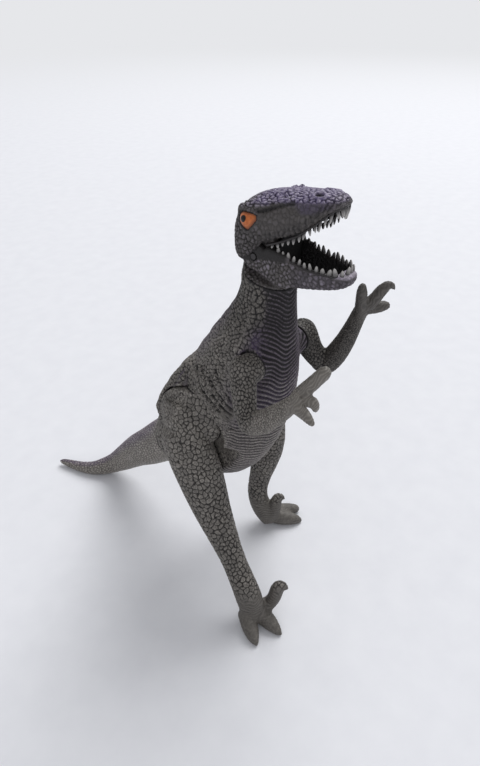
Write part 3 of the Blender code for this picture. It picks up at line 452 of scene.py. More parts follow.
for fold in FLANK_FOLDS:
    gap = path_gap(bent, fold)
    trunk.press(0.35 * bell(gap - 1.5, 0.8) - 0.75 * bell(gap, 0.75))
    creased = np.maximum(creased, bell(gap, 0.55))
ridge = path_gap(at, HIP_RIDGE)
trunk.press(0.6 * bell(ridge, 0.9))
dent = bell(np.linalg.norm(at - HIP_HOLLOW, axis=1), 5.5)
trunk.press(-1.3 * dent)

# Ribs run across the chest and belly: level on the chest, and fanned out below it.
x, y, z = trunk.at.T
fan_back, fan_up = RIB_FAN
ahead = np.column_stack([np.zeros_like(y), y - fan_back, np.minimum(z - fan_up, 0.0)])
front = (facing * ahead).sum(1) / np.linalg.norm(ahead, axis=1)
along = np.where(z > fan_up, z - fan_up, -RIB_REACH * np.arctan2(fan_up - z, fan_back - y))
along = along - RIB_DRAPE * ramp(np.abs(x - TRUNK_MIDDLE), 1.0, 17.0) * ramp(z, 104.0, 142.0)
edge = 0.36 + 0.26 * ramp(z, 92.0, 116.0)
ribbed = ramp(front + 0.05 * wander(trunk.at, 2.5, 31.0), edge - 0.20, edge + 0.12)
wobble = (0.55 * wander(trunk.at * (0.8, 0.8, 0.4), 7.0)
          + 0.20 * wander(trunk.at * (0.8, 0.8, 0.5), 3.6, 7.0))
crest = waves(along / RIB_PITCH + wobble) ** 1.5
strength = 0.25 + 0.75 * ramp(z, 66.0, 84.0)

# Scales are big on the chest, smaller on the flank and long on the haunch and belly.
big, big_tone = trunk.scales(2.3, 3)
small, small_tone = trunk.scales(1.8, 5)
long, long_tone = trunk.scales(1.2, 7, (0.0, -0.62, -0.78), 2.2)
upper = ramp(z + 6.0 * wander(trunk.at, 9.0), 112.0, 122.0)
chest = ramp(front, -0.05, 0.2) * upper
groove = between(upper, long, between(chest, small, big))
tone = between(upper, long_tone, between(chest, small_tone, big_tone))
band = ramp(front, edge - 0.40, edge - 0.20) * (1.0 - ribbed) * ramp(z, 98.0, 106.0) * fall(z, 140.0, 150.0)
plain = np.clip(band * 0.8 + dent * 1.2, 0.0, 1.0)
scaled = (1.0 - ribbed) * (1.0 - plain)
trunk.press(0.35 * scaled * wander(trunk.at * (1.0, 1.0, 0.6), 5.0, 3.0))
trunk.press(scaled * between(chest, *SCALE_DEPTHS) * (pebble(groove, 0.12) - 1.0) * (0.7 + 0.6 * tone)
            + ribbed * strength * RIB_DEPTH * (crest - 1.0))
# The flat seats stay level, because the legs sweep over them.
far, rump = round_hip(trunk.at)
for side, seat in HIP_SEATS.items():
    proud = side * (trunk.at[:, 0] - seat)
    on_seat = (far < HIP_RADIUS) & (proud < 1.5)
    trunk.at[:, 0] -= side * np.where(on_seat, np.maximum(proud, 0.0), 0.0) * ~trunk.hollow

breast = ramp(z, 96.0, 112.0)
# Painted shade: the upper chest and the throat are darkened.
painted_chest_shade = ramp(z, 118.0, 132.0)
throat = ramp(z, 138.0, 150.0)
side_glow = bell(front - edge + 0.14, 0.24) * ramp(z, 107.0, 119.0) * fall(z, 142.0, 154.0)
nape = ramp(facing @ (0.0, 0.8, 0.6), 0.5, 0.95) * ramp(z, 116.0, 132.0)
in_groove = (scaled * (0.95 + 0.2 * throat) * fall(groove, 0.02, 0.42)
             + ribbed * (0.35 + 0.25 * strength + 0.32 * painted_chest_shade) * fall(crest, 0.02, 0.7))
# Painted shade in the seams, weaker on the rump by the hip.
painted_seam_shade = trunk.seam_shade() * (1.0 - 0.6 * rump * (far < RUMP_PAINT))
# Painted shade on the upper chest's ribs, on the plain band beside them and on the throat.
shade = 0.16 * ribbed * painted_chest_shade + 0.25 * band + 0.22 * throat
on_scales = (scaled * ramp(groove, 0.40, 0.7) * (1.0 - 0.7 * ramp(groove, 0.8, 1.0)) * (0.35 + 0.75 * tone)
             * (1.0 - 0.5 * throat))
# The groove layer takes the wash and the painted shade; dent * 0.35 is painted shade in the hip hollow.
trunk.paint(groove=(in_groove * 0.9 + painted_seam_shade * 0.6 + dent * 0.35 + shade
                    + 0.7 * creased * (1.0 - ribbed)),
            tone=between(scaled, 0.5, tone),
            violet=(1.3 * side_glow + ribbed * breast * (1.3 - 0.75 * ramp(crest, 0.5, 0.9))
                    + 0.75 * nape * (far > RUMP_PAINT) + 0.25 * ribbed),
            crest=(on_scales + ribbed * ramp(crest, 0.5, 0.9) * (0.95 - 0.48 * painted_chest_shade)
                   + bell(ridge, 0.7) * 0.5),
            clean=plain * 0.4)
trunk.finish(HIDE)


# ---- Swivel plugs ----
# Every limb, the tail and the head turn on a stepped plug of hard plastic (ABS), injection moulded in
# dark grey and snapped through two skins. Only the edge of a flange is seen, deep in its seam.
def moulded_plastic(name, colour, rough, pattern=1.4):
    """Fine spark-eroded mould texture, about 0.3 mm, and a faint flow cloud."""
    material = bpy.data.materials.new(name)
    tree = fresh_tree(material)
    place = add(tree, "ShaderNodeTexCoord").outputs["Object"]
    grit = grains(tree, place, 0.3, 2.0)
    low = [c * 0.75 for c in linear(colour)[:3]] + [1.0]
    high = [min(c * pattern, 1.0) for c in linear(colour)[:3]] + [1.0]
    shade = blend(tree, grains(tree, place, 6.0, 3.0), low, high)
    bump = add(tree, "ShaderNodeBump", {"Strength": 0.3, "Distance": 0.05 / MM, "Height": grit}).outputs[0]
    gloss = remap(tree, grit, 0.0, 1.0, rough - 0.06, rough + 0.1)
    surface = add(tree, "ShaderNodeBsdfPrincipled", {"IOR": 1.54, "Base Color": shade, "Roughness": gloss,
                                                     "Normal": bump})
    add(tree, "ShaderNodeOutputMaterial", {"Surface": surface.outputs[0]})
    return material


PLUG_PLASTIC = moulded_plastic("moulded_abs", "#34322f", 0.48)


def dress(node, material):
    mesh = frame["nodes"][node].data
    mesh.materials.clear()
    mesh.materials.append(material)
    mesh.set_sharp_from_angle(angle=math.radians(40.0))


for plug in ("neck_plug", "tail_plug", "right_shoulder_plug", "left_shoulder_plug",
             "right_hip_plug", "left_hip_plug"):
    dress(plug, PLUG_PLASTIC)


# ---- Head ----
# Skull, upper jaw and collar are one vinyl skin. Its crown and snout carry rows of small bumps under
# a lilac spray, a heavy brow runs over each eye to the nostril, and the cheek ends in a sharp edge.
HEAD_MIDDLE = -1.9
BROW = ((-9.4, -44.8, 191.0), (-10.4, -47.6, 192.6), (-11.4, -52.0, 193.8), (-12.0, -58.0, 195.2),
        (-11.2, -64.0, 197.6), (-10.2, -70.4, 198.8))
UNDER_BROW = ((-12.9, -56.0, 193.0), (-12.6, -60.0, 194.2), (-11.5, -64.9, 196.6), (-10.6, -70.0, 198.0))
KNOBS = ((-9.2, -46.2, 192.6), (-9.6, -48.9, 194.1), (-10.2, -51.7, 195.1), (-10.6, -54.6, 196.0),
         (-7.2, -60.5, 199.3), (-6.2, -64.0, 200.2))
NOSTRIL = (-6.2, -76.8, 201.0)
LIP = ((-13.4, -59.0, 181.8), (-12.8, -65.0, 183.3), (-11.7, -72.0, 186.8), (-10.3, -78.0, 190.7),
       (-8.6, -82.0, 193.7), (-6.6, -84.6, 195.4), (-1.9, -85.6, 195.9))
EYE_CORNERS = ((-10.4, -46.8, 190.7), (-13.0, -57.6, 191.7), (-13.8, -52.5, 185.6))
EYE_OUT = (-0.93, 0.24, 0.28)
LID_ROUND = 0.75            # the smaller, the rounder the corners
LID_REACH = 1.14
LIP_LIFT = 2.6              # the lip rises by this much at the snout's end
LIP_SOFT = 2.6              # over this width
SNOUT_BACK = -76.0          # from here on the snout is shorter than the solid
SNOUT_BLUNT = 0.08          # by this share
NOSTRIL_RIM = 1.45          # radius
LID_EDGE = 0.75             # the lids swell this far outside their opening
# Lines in side view, forward and up: where the brow's bumps start, and where the lilac does.
BROW_LINE = ((45.0, 50.0, 58.0, 64.0, 70.0, 80.0, 86.0), (191.0, 193.0, 194.8, 196.8, 198.0, 199.4, 199.6))
LILAC_LINE = ((45.0, 52.0, 58.0, 66.0, 70.0, 74.0, 80.0, 85.0),
              (193.0, 195.0, 196.6, 198.0, 197.4, 196.4, 196.8, 199.0))


class EyeFrame:
    """Flat frame over the rounded triangle that the lids of the right eye leave open."""

    def __init__(self):
        corners = np.array(EYE_CORNERS)
        self.middle = corners.mean(0)
        self.out = np.array(EYE_OUT) / np.linalg.norm(EYE_OUT)
        self.forward = np.cross((0.0, 0.0, 1.0), self.out)
        self.forward /= np.linalg.norm(self.forward)
        self.upward = np.cross(self.out, self.forward)
        self.corners = self.flat(corners) * LID_REACH

    def flat(self, points):
        away = np.asarray(points) - self.middle
        return np.column_stack([away @ self.forward, away @ self.upward])

    def beyond(self, flat):
        """Distance inside (negative) or outside of the triangle's sides."""
        most = np.full(len(flat), -1e9)
        for a, b in zip(self.corners, np.roll(self.corners, -1, axis=0)):
            across = np.array([b[1] - a[1], a[0] - b[0]]) / np.linalg.norm(b - a)
            if across @ a < 0.0:
                across = -across
            most = np.logaddexp(most * LID_ROUND, ((flat - a) @ across) * LID_ROUND) / LID_ROUND
        return most


EYE = EyeFrame()
head = Skin("head_shell", "head", 0.33, "head_skin", ("eye_right", "eye_left"))
head.ease(60)
head.at[:, 1] += SNOUT_BLUNT * np.maximum(SNOUT_BACK - head.at[:, 1], 0.0)
lip = path_gap(mirrored(head.at, HEAD_MIDDLE), LIP)
lift = LIP_LIFT * ramp(-head.at[:, 1], 72.0, 84.0)
head.at[:, 2] += lift * bell(lip, LIP_SOFT)
lip = path_gap(mirrored(head.at, HEAD_MIDDLE) - np.outer(lift, (0.0, 0.0, 1.0)), LIP)
collar = fall(head.at[:, 2], 171.0, 174.0)
head.free = ramp(head.gap, 0.25 - 0.15 * collar, 1.0 - 0.5 * collar) * ~head.hollow
# The smooth skin before it is carved also shapes the eyeballs.
head.facing()
graph = bpy.context.evaluated_depsgraph_get()
SMOOTH_HEAD = bvhtree.BVHTree.FromObject(head.piece, graph)
nostril, *knobs = (np.array(SMOOTH_HEAD.find_nearest(Vector(p) / MM)[0]) * MM for p in (NOSTRIL, *KNOBS))
at = mirrored(head.at, HEAD_MIDDLE)
under_brow = path_gap(at, UNDER_BROW)
head.press(0.9 * bell(path_gap(at, BROW), 1.5) - 0.8 * bell(under_brow, 0.7))
for knob in knobs:
    head.press(0.85 * bell(np.linalg.norm(at - knob, axis=1), 1.15))
lids = EYE.beyond(EYE.flat(at))
at_eye = (np.abs((at - EYE.middle) @ EYE.out) < 4.0) & (np.linalg.norm(at - EYE.middle, axis=1) < 9.0)
opening = np.where(at_eye, fall(lids, -0.35, 0.2), 0.0)
rim = np.where(at_eye, bell(lids - LID_EDGE, 0.5), 0.0)
head.press(0.35 * rim - 1.3 * opening)
nose = np.linalg.norm((at - nostril) * (1.0, 0.6, 1.0), axis=1)
head.press(0.4 * bell(nose - NOSTRIL_RIM, 0.4) - 0.9 * fall(nose, 0.6, 1.2))
head.press(0.25 * bell(lip, 0.9))

_, y, z = head.at.T
bumps, bump_tone = head.scales(1.45, 11, (0.0, 1.0, -0.25), 1.5)
wrinkles, wrinkle_tone = head.scales(1.5, 13, (0.0, -0.35, 1.0), 1.4)
over_brow = ramp(z - np.interp(-y, *BROW_LINE), -0.3, 0.9) * ramp(z, 186.0, 190.0)
sides = 1.0 - over_brow
lilac = ramp(z + 0.8 * wander(head.at, 3.0, 5.0) - np.interp(-y, *LILAC_LINE), -1.6, 1.4)
cheek = ramp(y, -61.0, -52.0)
smooth_spots = np.clip(opening + 0.8 * rim + 1.0 - ramp(nose, 1.7, 2.4), 0.0, 1.0)
stripes = waves(y / 1.9 + 0.3 * wander(head.at, 3.0))
striped = (1.0 - cheek) * sides * ramp(lip, 0.6, 1.2) * fall(lip, 3.5, 5.0)
relief = (over_brow * 0.55 * (pebble(bumps) - 1.0) * (0.5 + bump_tone)
          + sides * (0.18 + 0.34 * cheek) * (pebble(wrinkles) - 1.0))
head.press((relief + 0.28 * striped * (stripes - 1.0)) * (1.0 - smooth_spots))
in_groove = (over_brow * fall(bumps, 0.02, 0.42) * 0.85
             + sides * fall(wrinkles, 0.03, 0.42) * (0.34 + 0.56 * cheek)
             + 0.5 * striped * (1.0 - stripes)) * (1.0 - smooth_spots)
# Painted shadow in the groove layer: in the eye sockets, in a dark line along the lids' edge and under the
# brow. Painted shade darkens the head's sides a little and lies in the seams.
head.paint(groove=(in_groove + opening + 0.9 * fall(nose, 0.75, 1.15) + at_eye * bell(lids - 0.15, 0.28)
                   + 0.8 * bell(under_brow, 0.5) + 0.12 * sides * (1.0 - collar)
                   + (0.9 - 0.6 * collar) * head.seam_shade()),
           tone=between(over_brow, wrinkle_tone, bump_tone),
           violet=(lilac * ramp(-y, 48.0, 56.0) * (1.0 - 0.5 * ramp(-y, 79.0, 84.0))
                   * (0.3 + 0.7 * over_brow)),
           crest=(over_brow * ramp(bumps, 0.4, 0.75) * 0.9 + bell(nose - NOSTRIL_RIM, 0.45) * 0.55
                  + sides * ramp(wrinkles, 0.5, 0.9) * (0.12 + 0.3 * cheek) * wrinkle_tone),
           clean=0.15 + 0.4 * sides * (1.0 - cheek))
# The head's and jaw's vinyl is mixed darker than the trunk's; this darker base is partly painted shade on the
# head's side, and the lilac spray and crest colour are its own.
HEAD_HIDE = painted_vinyl("lilac_sprayed_vinyl", "#413d3c", "#55504d", "#151314", "#aea5b6", "#5f5083", 0.45)
head.finish(HEAD_HIDE)


# ---- Lower jaw ----
# A separate vinyl trough that turns on a steel pin through its two ears. Its rim is a smooth pale lip,
# its flanks carry rows of scales, and the cheek's inner face by the hinge is smooth and painted dark, as
# painted shade of the recess under the cheek's edge.
# The pin's ends are painted over with the skin.
CHEEK_EDGE = ((46.0, 52.0, 57.6, 63.4, 67.0), (172.5, 173.8, 175.6, 176.4, 176.7))      # forward and up
JAW_RIM = ((64.8, 69.0, 75.0, 81.0, 85.5, 90.0), (179.6, 178.2, 176.8, 176.3, 175.8, 175.4))

jaw = Skin("lower_jaw", "jaw", 0.33, "jaw_skin")
jaw.ease(50)
x, y, z = jaw.at.T
facing = jaw.facing()
cheek_edge = np.interp(-y, *CHEEK_EDGE)
by_cheek = fall(-y, 67.0, 69.5)
inner_cheek = ramp(z, cheek_edge - 0.3, cheek_edge + 0.3) * by_cheek
jaw.free = ramp(jaw.gap, 0.25, 1.0) * ~jaw.hollow
jaw.press(0.3 * bell(z - cheek_edge + 0.6, 0.5) * by_cheek)
rows, row_tone = jaw.scales(1.5, 17, (0.0, 0.2, 1.0), 1.25)
rim_z = np.interp(-y, *JAW_RIM)
walls = fall(z, rim_z - 1.7, rim_z - 0.6) * (1.0 - inner_cheek)
front_part = ramp(-y, 68.0, 76.0)
stripes = waves(y / 2.1 + 0.3 * wander(jaw.at, 3.0))
jaw.press(walls * ((1.0 - 0.5 * front_part) * 0.45 * (pebble(rows) - 1.0)
                   + 0.2 * front_part * (stripes - 1.0)))
lip_line = ramp(z, rim_z - 1.2, rim_z - 0.3) * (0.2 + 0.8 * ramp(-y, 76.0, 86.0)) * (1.0 - inner_cheek)
inside = ramp(-(facing[:, 0] * np.sign(x - HEAD_MIDDLE)), 0.3, 0.6) * (z > 170.0)
# Painted shade: the inner cheek in the recess under the cheek's edge, and painted seam shade round the rest.
jaw.paint(groove=(walls * fall(rows, 0.02, 0.40) * (0.9 - 0.5 * front_part)
                  + walls * front_part * (1.0 - stripes) * 0.3 + 0.85 * inner_cheek + 0.9 * inside
                  + 0.9 * (1.0 - inner_cheek) * jaw.seam_shade()),
          tone=between(walls, 0.5, row_tone),
          violet=0.12 * walls * front_part,
          crest=walls * ramp(rows, 0.45, 0.8) * 0.55 * row_tone + 1.4 * lip_line,
          clean=0.3 + 0.6 * inner_cheek)
jaw.finish(HEAD_HIDE)
dress("jaw_pin", moulded_plastic("painted_steel_pin", "#2a2728", 0.5))


# ---- Mouth lining ----
# A thin black insert of soft vinyl closes the throat and palate; it is flat black with a low sheen.
LINING = moulded_plastic("matt_black_vinyl", "#0b0a0b", 0.7, 1.6)
dress("mouth_liner", LINING)


# ---- Teeth ----
# Each row is one strip of ivory-painted vinyl: blunt pegs on a dark gum rail, glued inside the lips.
# They are smallest by the corner of the mouth, and the wash runs down to their roots.
TEETH_PAINT = bpy.data.materials.new("ivory_painted_vinyl")
tree = fresh_tree(TEETH_PAINT)
place = add(tree, "ShaderNodeTexCoord").outputs["Object"]
root = add(tree, "ShaderNodeAttribute", {"attribute_name": "root"}).outputs["Fac"]
stain = add(tree, "ShaderNodeTexNoise", {"Scale": MM / 1.1, "Detail": 3.0, "Vector": place}).outputs["Fac"]
dirty = add(tree, "ShaderNodeMath", {"operation": "MULTIPLY_ADD", 1: 0.5, 0: stain, 2: root}).outputs[0]
dirty = add(tree, "ShaderNodeMapRange", {"From Min": 0.35, "From Max": 1.2, "Value": dirty}).outputs[0]
colour = add(tree, "ShaderNodeMix", {"data_type": "RGBA", 6: linear("#b3b0ad"), 7: linear("#242021"),
              0: dirty}).outputs[2]
bump = add(tree, "ShaderNodeBump", {"Strength": 0.3, "Distance": 0.08 / MM, "Height": stain}).outputs[0]
surface = add(tree, "ShaderNodeBsdfPrincipled", {"Roughness": 0.36, "IOR": 1.5,
               "Base Color": colour, "Normal": bump})
add(tree, "ShaderNodeOutputMaterial", {"Surface": surface.outputs[0]})

# Half of each row, back to front: how far out from the middle, y and z of the gum.
UPPER_GUM = ((10.0, -60.5, 181.6), (9.8, -65.0, 183.4), (8.8, -72.0, 187.0), (7.4, -77.6, 191.6),
             (5.9, -81.2, 195.2), (3.7, -83.4, 197.2), (0.0, -84.1, 197.6))
LOWER_GUM = ((8.0, -61.5, 179.6), (8.0, -66.0, 178.8), (7.9, -69.0, 177.9), (7.6, -75.0, 176.4),
             (6.7, -81.0, 175.9), (5.3, -85.0, 175.4), (3.3, -87.5, 175.1), (0.0, -88.3, 175.0))
PEG_SIDES = 10
PEG_OUTLINE = ((-0.25, 1.05), (0.12, 1.08), (0.38, 0.96), (0.62, 0.78), (0.82, 0.56), (0.95, 0.30), (1.0,
                                                                                                     0.08))
RAIL_SIDES = 8
INNER_DARK = 0.9            # the pegs are darker on their inner faces


def gum_spots(half, count):
    """Even spots round the jaw with the way along the gum at each."""
    left = [Vector((HEAD_MIDDLE - out, y, z)) for out, y, z in half]
    right = [Vector((HEAD_MIDDLE + out, y, z)) for out, y, z in reversed(half[:-1])]
    path = left + right
    lengths = np.concatenate([[0.0], np.cumsum([(b - a).length for a, b in zip(path, path[1:])])])
    spots = []
    for target in np.linspace(0.0, lengths[-1], count):
        i = min(int(np.searchsorted(lengths, target, "right")) - 1, len(path) - 2)
        along = (path[i + 1] - path[i]).normalized()
        spots.append((path[i] + along * (target - lengths[i]), along))
    return spots


def tube(mesh, rings, layer, values):
    """Closed tube over rings of points in millimetres, with a value for each point in the layer."""
    rows = []
    for ring, amounts in zip(rings, values):
        row = [mesh.verts.new(point / MM) for point in ring]
        for vertex, amount in zip(row, amounts):
            vertex[layer] = amount
        rows.append(row)
    for one, two in zip(rows, rows[1:]):
        for k in range(len(one)):
            n = (k + 1) % len(one)
            mesh.faces.new((one[k], one[n], two[n], two[k]))
    mesh.faces.new(rows[0])
    mesh.faces.new(reversed(rows[-1]))


def tooth_strip(name, half, count, up, tall_front, tall_back, node, body, width, lean):
    """Gum rail and pegs, one closed body each, joined in one piece."""
    strip = bmesh.new()
    root = strip.verts.layers.float.new("root")
    random = np.random.default_rng(count)
    rings = []
    for spot, along in gum_spots(half, 4 * count):
        inward = Vector((-along.y, along.x, 0.0)).normalized()
        turns = [2.0 * math.pi * k / RAIL_SIDES for k in range(RAIL_SIDES)]
        rings.append([spot + inward * math.cos(t) * width * 0.5
                      + Vector((0.0, 0.0, up * (math.sin(t) * 0.5 - 0.35))) for t in turns])
    tube(strip, rings, root, [[1.3] * RAIL_SIDES] * len(rings))
    turns = [2.0 * math.pi * k / PEG_SIDES for k in range(PEG_SIDES)]
    for i, (spot, along) in enumerate(gum_spots(half, count)[1:-1]):
        forward = 1.0 - abs((i + 1) / (count - 1) * 2.0 - 1.0)
        tall = (tall_back + (tall_front - tall_back) * forward ** 1.6) * random.uniform(0.70, 1.1)
        wide = width * (0.82 + 0.25 * forward) * random.uniform(0.85, 1.12)
        outward = -Vector((-along.y, along.x, 0.0)).normalized()
        slant = along * random.uniform(-0.22, 0.22)
        rings = []
        for height, girth in PEG_OUTLINE:
            middle = spot + (outward * lean + slant) * height * tall + Vector((0.0, 0.0, up * height * tall))
            rings.append([middle + (along * math.cos(t) - outward * math.sin(t) * 0.85) * wide / 2.0 * girth
                          for t in turns])
        tube(strip, rings, root, [[1.0 - height + INNER_DARK * max(math.sin(t), 0.0) for t in turns]
                                  for height, _ in PEG_OUTLINE])
    bmesh.ops.recalc_face_normals(strip, faces=strip.faces)
    mesh = baked(strip, name)
    mesh.shade_smooth()
    mesh.materials.append(TEETH_PAINT)
    piece = put(name, mesh)
    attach(piece, body)
    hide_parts(node)


tooth_strip("upper_tooth_strip", UPPER_GUM, 30, -1, 4.5, 1.5, "upper_teeth", "head", 1.5, 0.04)
tooth_strip("lower_tooth_strip", LOWER_GUM, 28, 1, 3.1, 2.1, "lower_teeth", "jaw", 1.7, 0.08)


# ---- Eyes ----
# Each eye is a smooth vinyl boss behind the lids, painted orange with a black pupil and sealed with
# gloss lacquer; its dark rim is painted shadow of the lids.
EYE_TURNS = 64
EYE_RINGS = 10
EYE_UNDER_LIDS = 0.55       # how far the boss reaches under the lids
EYE_THICK = 0.5
EYE_BULGE = 1.0
EYE_SUNK = 0.5
PUPIL = (-13.4, -51.3, 189.6)


def eye_paint(name, pupil):
    """Orange enamel under clear lacquer, darkened toward the lids by painted shadow."""
    material = bpy.data.materials.new(name)
    tree = fresh_tree(material)
    place = add(tree, "ShaderNodeTexCoord").outputs["Object"]
    edge = add(tree, "ShaderNodeAttribute", {"attribute_name": "edge"}).outputs["Fac"]
    away = add(tree, "ShaderNodeVectorMath", {"operation": "DISTANCE", 1: [c / MM for c in pupil],
                0: place}).outputs["Value"]
    streak = add(tree, "ShaderNodeTexNoise", {"Scale": MM / 1.3, "Detail": 4.0,
                                              "Vector": place}).outputs["Fac"]
    orange = add(tree, "ShaderNodeMix", {"data_type": "RGBA", 6: linear("#d97f40"), 7: linear("#96401a"),
                  0: streak}).outputs[2]
    # Painted shadow of the lids darkens the orange toward the boss's edge.
    rim = add(tree, "ShaderNodeMapRange", {"From Min": 0.55, "From Max": 0.95, "Value": edge}).outputs[0]
    orange = add(tree, "ShaderNodeMix", {"data_type": "RGBA", 7: linear("#3a1d12"), 0: rim,
                                         6: orange}).outputs[2]
    black = add(tree, "ShaderNodeMapRange", {"From Min": 1.15 / MM, "From Max": 1.35 / MM, "To Min": 1.0,
                                             "To Max": 0.0,
                 "Value": away}).outputs[0]
    colour = add(tree, "ShaderNodeMix", {"data_type": "RGBA", 7: linear("#020101"), 0: black,
                                         6: orange}).outputs[2]
    surface = add(tree, "ShaderNodeBsdfPrincipled",
                  {"Roughness": 0.4, "Specular IOR Level": 0.3, "Coat Weight": 0.25, "Coat Roughness": 0.03,
                   "IOR": 1.5, "Base Color": colour})
    add(tree, "ShaderNodeOutputMaterial", {"Surface": surface.outputs[0]})
    return material


def boss_reach(turn):
    """How far the boss reaches from the middle of the lids in one direction."""
    way = np.array([math.cos(turn), math.sin(turn)])
    steps = np.arange(0.5, 9.0, 0.05)
    beyond = EYE.beyond(steps[:, None] * way)
    return way * steps[np.argmax(beyond > EYE_UNDER_LIDS)]


def on_head(flat):
    """Point of the uncarved head over a flat place of the eye's frame."""
    start = EYE.middle + EYE.forward * flat[0] + EYE.upward * flat[1] + EYE.out * 8.0
    found = SMOOTH_HEAD.ray_cast(Vector(start) / MM, -Vector(EYE.out))[0]
    return np.array(found) * MM


tops = []
for ring in range(EYE_RINGS, 0, -1):
    share = ring / EYE_RINGS
    for k in range(EYE_TURNS):
        flat = boss_reach(2.0 * math.pi * k / EYE_TURNS) * share
        tops.append((on_head(flat) + EYE.out * (EYE_BULGE * (1.0 - share ** 2) - EYE_SUNK), share))
tops.append((on_head(np.zeros(2)) + EYE.out * (EYE_BULGE - EYE_SUNK), 0.0))
for side, node in ((-1, "eye_right"), (1, "eye_left")):
    turn = np.array((1.0, 1.0, 1.0)) if side < 0 else np.array((-1.0, 1.0, 1.0))
    shift = np.zeros(3) if side < 0 else np.array((2.0 * HEAD_MIDDLE, 0.0, 0.0))
    boss = bmesh.new()
    layer = boss.verts.layers.float.new("edge")
    skins = []
    for lift in (0.0, -EYE_THICK):
        skin = []
        for point, share in tops:
            vertex = boss.verts.new(((point + EYE.out * lift) * turn + shift) / MM)
            vertex[layer] = share
            skin.append(vertex)
        skins.append(skin)
        for ring in range(EYE_RINGS - 1):
            for k in range(EYE_TURNS):
                a, b = ring * EYE_TURNS + k, ring * EYE_TURNS + (k + 1) % EYE_TURNS
                boss.faces.new((skin[a], skin[b], skin[b + EYE_TURNS], skin[a + EYE_TURNS]))
        for k in range(EYE_TURNS):
            first = (EYE_RINGS - 1) * EYE_TURNS
            boss.faces.new((skin[first + k], skin[first + (k + 1) % EYE_TURNS], skin[-1]))
    for k in range(EYE_TURNS):
        n = (k + 1) % EYE_TURNS
        boss.faces.new((skins[0][k], skins[0][n], skins[1][n], skins[1][k]))
    bmesh.ops.recalc_face_normals(boss, faces=boss.faces)
    mesh = baked(boss, node + "_boss")
    mesh.shade_smooth()
    pupil = on_head(EYE.flat([PUPIL])[0]) * turn + shift
    mesh.materials.append(eye_paint(node + "_lacquered_enamel", pupil))
    piece = put(node + "_boss", mesh)
    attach(piece, "head")
    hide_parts(node)


# ---- Arms ----
# Solid little arms of the same vinyl, each pressed onto its shoulder plug. Oval pebbles cover the upper
# arm, the forearm is finely wrinkled, and the palms and fingers carry short cross creases.
# The second number is painted shade: the left arm gets a heavier wash and duller crests for it.
for node, shade in (("right_arm", 0.0), ("left_arm", 0.24)):
    arm = Skin(node, node, 0.3, node + "_skin")
    arm.ease(30)
    _, y, z = arm.at.T
    ovals, oval_tone = arm.scales(1.35, 23, (0.0, 0.0, 1.0), 1.35)
    fine, fine_tone = arm.scales(0.8, 29, (1.0, 0.0, 0.3), 1.9)
    outer = ramp(-y, 66.0, 72.0)
    hand = ramp(-y, 80.0, 84.0)
    groove = ovals * (1.0 - outer) + fine * outer
    creases = waves((y + 0.4 * z) / 1.2 + 0.8 * wander(arm.at, 3.0))
    depth = 0.48 * (1.0 - outer) + 0.28 * outer * (1.0 - hand)
    arm.press(depth * (pebble(groove) - 1.0) + 0.10 * hand * (creases - 1.0))
    # Painted shade: the upper arm's extra wash (0.25), the left arm's shade, and painted seam shade.
    arm.paint(groove=fall(groove, 0.03, 0.42) * (0.95 - 0.35 * outer) * (1.0 - hand)
              + 0.16 * hand * fall(creases, 0.0, 0.45) + shade * (1.0 + outer) + 0.25 * (1.0 - outer)
              + 0.8 * arm.seam_shade(),
              tone=between(hand, between(outer, oval_tone, fine_tone), 0.5),
              violet=np.zeros(len(y)),
              crest=((1.0 - hand) * ramp(groove, 0.45,
                                         0.8) * (0.45 + 0.3 * outer) + 0.4 * hand * ramp(creases, 0.6, 1.0))
              * (1.0 - 2.0 * shade),
              clean=0.2 + 0.2 * hand)
    arm.finish(HIDE)


